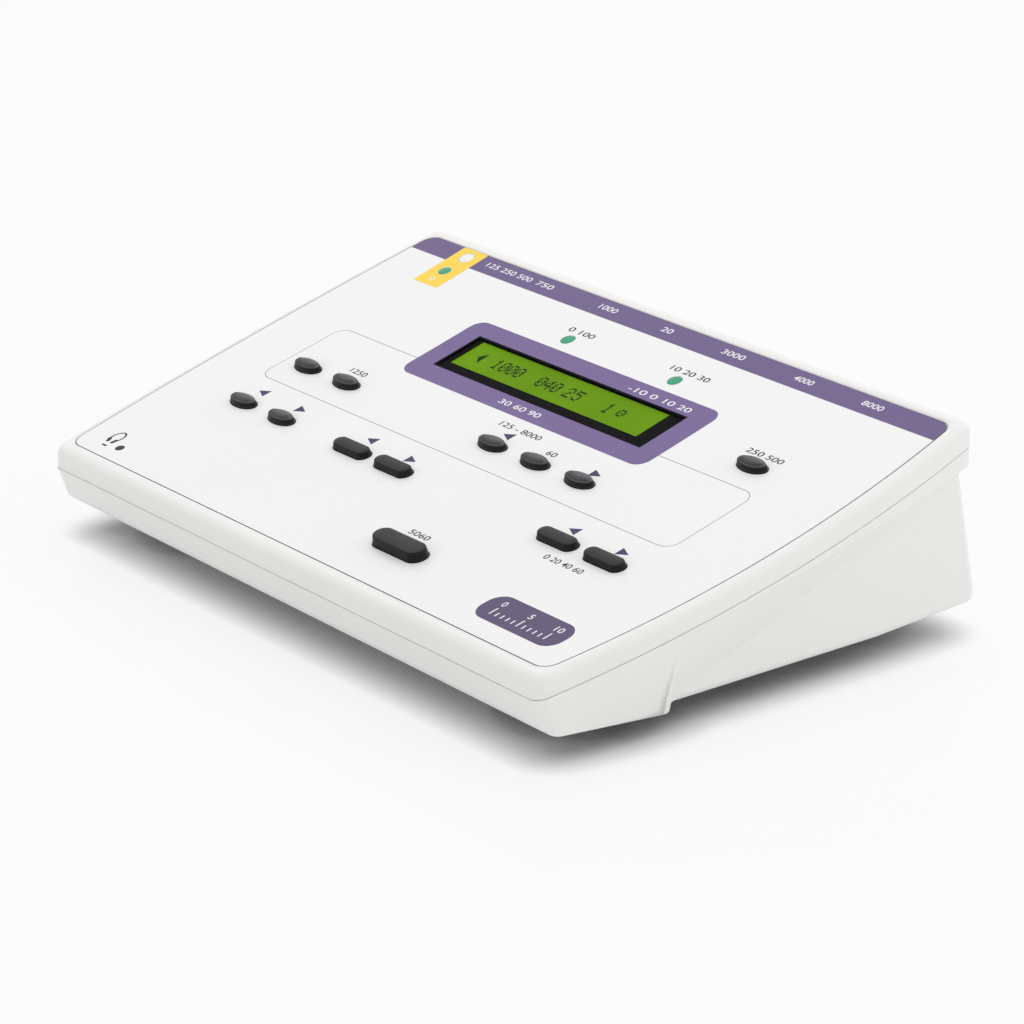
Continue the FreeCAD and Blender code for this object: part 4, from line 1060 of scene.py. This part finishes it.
class AUDIOMETER_OT_display(bpy.types.Operator):
    """Lights the display and writes plain figures on it"""
    bl_idname = "audiometer.display"
    bl_label = "Display"

    dot_font = {"0": ("01110", "10001", "10011", "10101", "11001", "10001", "01110"),
                "1": ("00100", "01100", "00100", "00100", "00100", "00100", "01110"),
                "2": ("01110", "10001", "00001", "00110", "01000", "10000", "11111"),
                "4": ("00010", "00110", "01010", "10010", "11111", "00010", "00010"),
                "5": ("11111", "10000", "11110", "00001", "00001", "10001", "01110"),
                "<": ("00010", "00110", "01110", "11110", "01110", "00110", "00010"),
                "o": ("00000", "01110", "10001", "10101", "10001", "01110", "00000")}
    characters = (("<", -45.2), ("1", -36.6), ("0", -32.8), ("0", -29.0), ("0", -25.2), ("0", -13.7),
                  ("4", -9.9), ("0", -6.1), ("2", 0.4), ("5", 4.7), ("1", 20.0), ("o", 26.2))
    # Pitch of the dots across and along a character, their height, and how far the line is behind the middle.
    across, along, dot_height, line_y = 0.66, 0.80, 0.02, 1.8

    def execute(self, context):
        display = settings().display
        lit = Finish("Lit display", tuple(display.light), 0.5, Specular_IOR_Level=0.03,
                     Emission_Color=(*display.light, 1.0), Emission_Strength=display.glow)
        clear = Finish("Window clear", (0.05, 0.06, 0.05), 0.04, Alpha=0.02, Specular_IOR_Level=0.02)
        dress("lcd_glass", lit.worn(tint=(0.03, 0.22)))
        dress("lcd_backlight", lit.material)
        dress("display_window", clear.worn(mottle=(0.02, 0.01)))
        self.bezel()
        self.writing(display)
        return {"FINISHED"}

    @staticmethod
    def bezel():
        """Black frame round the lit area, and the window's black border in front of it."""
        black = Finish("Bezel black", (0.002, 0.002, 0.003), 0.45, Specular_IOR_Level=0.03)
        black = black.worn(tint=(0.004, 0.3), relief=(0.0005, 0.000003))
        mask_width, frame_room, frame_depth = 0.9, 0.15, 0.57
        dress("lcd_bezel", black)
        window = partial(pane, WINDOW_CENTRE, WINDOW_SIZE)
        printed("window_mask", [window(), window(mask_width)], black)
        front = flat_fill([window(frame_room), pane(VIEW_CENTRE, VIEW_SIZE)], "bezel_front")
        on_deck(strips(front), -frame_depth, black)

    def writing(self, display):
        """Characters of small raised dots on the glass."""
        dark = Finish("Dark dots", tuple(display.figure), 0.4, Specular_IOR_Level=0.05)
        place = deck_frame(WINDOW_CENTRE, -GLASS_DEPTH)
        outline = rounded_outline(self.across * 0.96, self.along * 0.9, 0.06, 2)
        dot = stacked([level(outline, z) for z in (0.0, self.dot_height)])
        places = []
        for sign, middle in self.characters:
            for row, line in enumerate(self.dot_font[sign]):
                for column in (i for i, filled in enumerate(line) if filled == "1"):
                    x = middle - WINDOW_CENTRE[0] + (column - 2) * self.across
                    y = self.line_y + (3 - row) * self.along
                    places.append(place @ (Vector((x, y, self.dot_height)) * MM))
        ink = dark.worn(tint=(0.002, 0.2))
        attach(at_points("display_characters", places, dot, ink, place, smooth=False), "case")


class AUDIOMETER_OT_lamps(bpy.types.Operator):
    """Finishes the lamps and the microphone opening"""
    bl_idname = "audiometer.lamps"
    bl_label = "Lamps and microphone"

    def execute(self, context):
        green = Finish("Lamp green", (0.040, 0.400, 0.215), 0.30, Specular_IOR_Level=0.3)
        green = green.worn(tint=(0.0015, 0.25), relief=(0.0006, 0.00001))
        for node, (place, radius) in LAMPS.items():
            self.light_pipe(node, place, radius, green)
        porous = Finish("Porous white", (0.96, 0.96, 0.95), 0.6)
        porous = porous.worn(relief=(0.0004, 0.00006, 3.0), tint=(0.0008, 0.12))
        smoothed_copy("microphone_grille", porous, "microphone_insert")
        return {"FINISHED"}

    @staticmethod
    def light_pipe(node, place, radius, green):
        """Green rod with a faintly domed face."""
        profile = [(radius, -12.0), (radius, FILM_TOP - 0.35), (radius - 0.12, FILM_TOP - 0.12),
                   (radius * 0.75, FILM_TOP - 0.03), (radius * 0.4, FILM_TOP)]
        stand_for(made(turned(profile, 40), node + "_lens", green, deck_frame(place)), node)


class AUDIOMETER_OT_sockets(bpy.types.Operator):
    """Turns the earphone sockets and their nuts, and builds the data and supply sockets"""
    bl_idname = "audiometer.sockets"
    bl_label = "Rear sockets"

    def execute(self, context):
        nickel = bare_metal("Nickel plate", (0.66, 0.64, 0.60), 0.22)
        gold = bare_metal("Gold flash", (0.78, 0.58, 0.24), 0.25)
        black = moulded("Socket black", (0.018, 0.018, 0.020), 0.42, 0.0006, 0.00001)
        pale = moulded("Tongue white", (0.72, 0.72, 0.70), 0.45, 0.0006, 0.00001)
        for node, x in JACK_PLACES.items():
            self.jack(node, rear_frame(x), nickel, black)
        self.nuts(nickel)
        self.data_socket(rear_frame(DATA_X, BOARD_LIFT), nickel, pale, gold)
        self.supply_socket(rear_frame(SUPPLY_X, BOARD_LIFT), nickel, black)
        self.socket_marks()
        return {"FINISHED"}

    @staticmethod
    def jack(node, place, nickel, black):
        """Threaded bush with an open bore, and the moulded body behind the wall."""
        bore, bush, reach, depth, back = 3.2, 4.98, 3.2, 25.8, -WALL - 0.6
        pitch, cut = 0.7, 0.28
        thread = []
        height = reach - 0.5
        while height > 0.2:
            thread += [(bush, height), (bush - cut, height - pitch / 2)]
            height -= pitch
        profile = [(bore, -depth), (bore, reach - 0.35), (bore + 0.35, reach), (bush - 0.45, reach), *thread,
                   (bush, 0.0), (bush, back), (bore + 0.5, back), (bore + 0.5, -depth - 0.4)]
        stand_for(made(turned(profile, 40, hollow=True), node.replace("_jack", "_bush"), nickel, place), node)
        end = turned([(bore, -depth - 0.4), (bore, -depth + 0.4)], 40)
        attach(made(end, node.replace("_jack", "_bore_end"), black, place), "case")
        outlines = [rounded_outline(15.0, 15.0, 0.8, 3), disc((0, 0), bore + 0.5, 40)]
        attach(prism(node.replace("_jack", "_body"), outlines, -26.9, -WALL, black, place), "case")

    @staticmethod
    def nuts(nickel):
        """Hexagon nuts with bevelled corners."""
        corner, half_side, steps = 6.6, math.pi / 6, 48
        rings = []
        for inset, z in ((0.35, 0.02), (0.0, 0.25), (0.0, 1.35), (0.45, 1.8)):
            points = []
            for i in range(steps):
                turn = math.tau * i / steps
                flat = corner * math.cos(half_side) / math.cos(turn % (2 * half_side) - half_side)
                radius = min(flat, corner - inset)
                points.append((radius * math.cos(turn), radius * math.sin(turn)))
            rings.append(level(points, z))
        for radius, z in ((5.35, 1.8), (5.02, 1.5), (5.02, 0.02)):
            rings.append(level(disc((0, 0), radius, steps), z))
        places = [rear_frame(x).translation for x in JACK_PLACES.values()]
        nut = stacked(rings, hollow=True)
        stand_for(at_points("hexagon_nuts", places, nut, nickel, rear_frame(0.0)), "jack_nuts")

    @staticmethod
    def data_socket(place, nickel, pale, gold):
        """Square socket: sheet metal shell, tongue and four contacts."""
        mouth = [(-4.3, -3.95), (4.3, -3.95), (4.3, 2.2), (2.7, 3.95), (-2.7, 3.95), (-4.3, 2.2)]
        body = rounded_outline(12.0, 11.0, 0.5, 3)
        stand_for(prism("data_socket_shell", [body, mouth], -9.0, 0.0, nickel, place), "usb_socket")
        back = prism("data_socket_back", [body], -15.4, -9.0, pale, place)
        tongue = prism("data_socket_tongue", [rounded_outline(5.6, 3.2, 0.3, 3)], -9.2, -1.0, pale, place)
        contact = stacked([level(rounded_outline(1.0, 0.1, 0.02, 1), z) for z in (-7.5, -1.2)])
        spots = [place @ Vector((x * MM, y * MM, 0)) for x in (-1.25, 1.25) for y in (-1.62, 1.62)]
        contacts = at_points("data_socket_contacts", spots, contact, gold, place, smooth=False)
        for piece in (back, tongue, contacts):
            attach(piece, "case")

    @staticmethod
    def supply_socket(place, nickel, black):
        """Round low-voltage inlet with a rounded centre pin."""
        body = rounded_outline(9.0, 11.0, 0.5, 3)
        front = prism("supply_socket_body", [body, disc((0, 0), 2.9, 40)], -9.5, 0.0, black, place)
        stand_for(front, "power_socket")
        back = prism("supply_socket_back", [body], -13.4, -9.5, black, place)
        pin = turned([(1.0, -9.8), (1.0, -1.0), (0.85, -0.65), (0.45, -0.5)], 24)
        for piece in (back, made(pin, "supply_socket_pin", nickel, place)):
            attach(piece, "case")

    @staticmethod
    def socket_marks():
        """Plain figures printed over the sockets, numbered from the right."""
        ink = film("Rear ink", (0.16, 0.15, 0.17), 0.5)
        for number, x in enumerate(sorted((*JACK_PLACES.values(), DATA_X, SUPPLY_X), reverse=True), 1):
            piece = text_piece(f"socket_mark_{number}", str(number), 3.2)
            piece.matrix_world = rear_frame(x, 11.0) @ Matrix.Translation((0, 0, 0.03 * MM))
            bpy.context.view_layer.update()
            piece = settled(piece)
            shaded(piece.data, ink, sharp_from=None)
            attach(piece, "case")


class AUDIOMETER_OT_underside(bpy.types.Operator):
    """Builds the feet, the case screws and the battery cover"""
    bl_idname = "audiometer.underside"
    bl_label = "Underside"

    def execute(self, context):
        self.feet()
        self.screws()
        self.cover()
        return {"FINISHED"}

    @staticmethod
    def feet():
        """Round rubber feet with a bevelled edge and a shallow dish."""
        # The second colour is a painted highlight: the foot rubber goes a little paler where it faces up.
        rubber = silicone("Foot rubber", (0.030, 0.030, 0.032), (0.040, 0.040, 0.042), 0.7)
        radius = 7.5
        profile = [(3.4, 0.5), (3.9, 0.0), (6.7, 0.0), (7.25, 0.35), (7.45, 1.0), (radius, 4.98)]
        low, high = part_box("rubber_feet")
        xs, ys = ((low[axis] + radius * MM, high[axis] - radius * MM) for axis in (0, 1))
        places = [(x, y, 0.0) for x in xs for y in ys]
        stand_for(at_points("round_feet", places, turned(profile), rubber), "rubber_feet")

    @staticmethod
    def screws():
        """Case screws with crowned heads and a crossed recess, at the places of the frame's screws."""
        steel = bare_metal("Zinc steel", (0.55, 0.55, 0.56), 0.30)
        shank, core, pitch = 1.45, 1.2, 0.9
        pieces = []
        for low, high in islands(frame["nodes"]["case_screws"].data):
            middle = (low + high) / 2
            place = Matrix.Translation((middle.x, middle.y, low.z))
            length = (high.z - low.z) / MM
            profile = [(2.0, 0.05), (2.6, 0.35), (2.85, 0.9), (2.85, 2.2), (shank, 2.2)]
            height = 2.6
            while height < length - 1.6:
                profile += [(shank, height), (core, height + pitch / 2)]
                height += pitch
            profile += [(1.1, length - 1.2), (0.3, length)]
            piece = made(turned(profile, 24), "screw", steel, place)
            for turn in (0.0, math.pi / 2):
                arm = stacked([level(rounded_outline(3.4 * wide, 0.75 * wide, 0.05, 2), z)
                               for wide, z in ((1.0, -0.5), (0.75, 1.2))])
                cutter = made(arm, "recess", steel, place @ Matrix.Rotation(turn, 4, "Z"), smooth=False)
                piece = cut_away(piece, cutter)
            pieces.append(piece)
        stand_for(merged(pieces, "shell_screws"), "case_screws")

    @staticmethod
    def cover():
        """Battery cover in the case's plastic, with a moulded arrow that shows its way."""
        plastic = bpy.data.materials["Shell plastic"]
        smoothed_copy("battery_door", plastic, "battery_cover_plate")
        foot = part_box("battery_door")[0][2] / MM
        arrow = [(-4.0, 18.0), (4.0, 18.0), (0.0, 26.0)]
        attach(prism("battery_cover_arrow", [arrow], foot - 0.35, foot + 0.4, plastic), "battery_cover")


class AUDIOMETER_OT_inside(bpy.types.Operator):
    """Finishes boards, components, cells and fasteners inside the case"""
    bl_idname = "audiometer.inside"
    bl_label = "Inside"

    def execute(self, context):
        groups = {
            moulded("Component black", (0.018, 0.018, 0.020), 0.45, 0.0006, 0.00001): (
                "processor", "signal_chips", "display_connector", "ribbon_plug", "tact_switches",
                "microphone_boot"),
            bare_metal("Bright steel", (0.62, 0.62, 0.63), 0.28): (
                "board_screws", "lcd_screws", "socket_board_screws", "microphone_capsule",
                "battery_contacts"),
            lacquered_board("Board lacquer", (0.020, 0.11, 0.045)): (
                "main_board", "lcd_board", "socket_board"),
            moulded("Relay cream", (0.62, 0.60, 0.52), 0.5, 0.0008): ("relays",),
            moulded("Diode clear", (0.55, 0.78, 0.60), 0.2, 0.0008, 0.000004): ("indicator_leds",),
            moulded("Capacitor sleeve", (0.03, 0.035, 0.09), 0.3, 0.0008, 0.000004): ("capacitors",),
            moulded("Cell sleeve", (0.28, 0.29, 0.31), 0.3, 0.001, 0.000004): ("battery_cells",),
            moulded("Cable grey", (0.40, 0.40, 0.41), 0.5, 0.0012, 0.00001): ("ribbon_cable",),
        }
        for material, nodes in groups.items():
            for node in nodes:
                dress(node, material)
        return {"FINISHED"}


# ---- panel and registration

STEPS = (AUDIOMETER_OT_case, AUDIOMETER_OT_printing, AUDIOMETER_OT_keys, AUDIOMETER_OT_display,
         AUDIOMETER_OT_lamps, AUDIOMETER_OT_sockets, AUDIOMETER_OT_underside, AUDIOMETER_OT_inside,
         AUDIOMETER_OT_stage)
GROUPS = (CaseSettings, PanelSettings, KeySettings, DisplaySettings, StudioSettings, AudiometerSettings)


class AUDIOMETER_PT_dressing(bpy.types.Panel):
    """Steps of the dressing"""
    bl_idname = "AUDIOMETER_PT_dressing"
    bl_label = "Audiometer"
    bl_space_type = "VIEW_3D"
    bl_region_type = "UI"
    bl_category = "Audiometer"

    def draw(self, context):
        for step in STEPS:
            self.layout.operator(step.bl_idname)


def register():
    for kind in (*GROUPS, *STEPS, AUDIOMETER_PT_dressing):
        bpy.utils.register_class(kind)
    bpy.types.Scene.audiometer = PointerProperty(type=AudiometerSettings, name="Audiometer",
                                                 description="Settings of the dressing")


def unregister():
    del bpy.types.Scene.audiometer
    for kind in reversed((*GROUPS, *STEPS, AUDIOMETER_PT_dressing)):
        bpy.utils.unregister_class(kind)


def main():
    register()
    for step in STEPS:
        name = step.bl_idname.split(".")[1]
        getattr(bpy.ops.audiometer, name)()


if __name__ == "__main__":
    main()
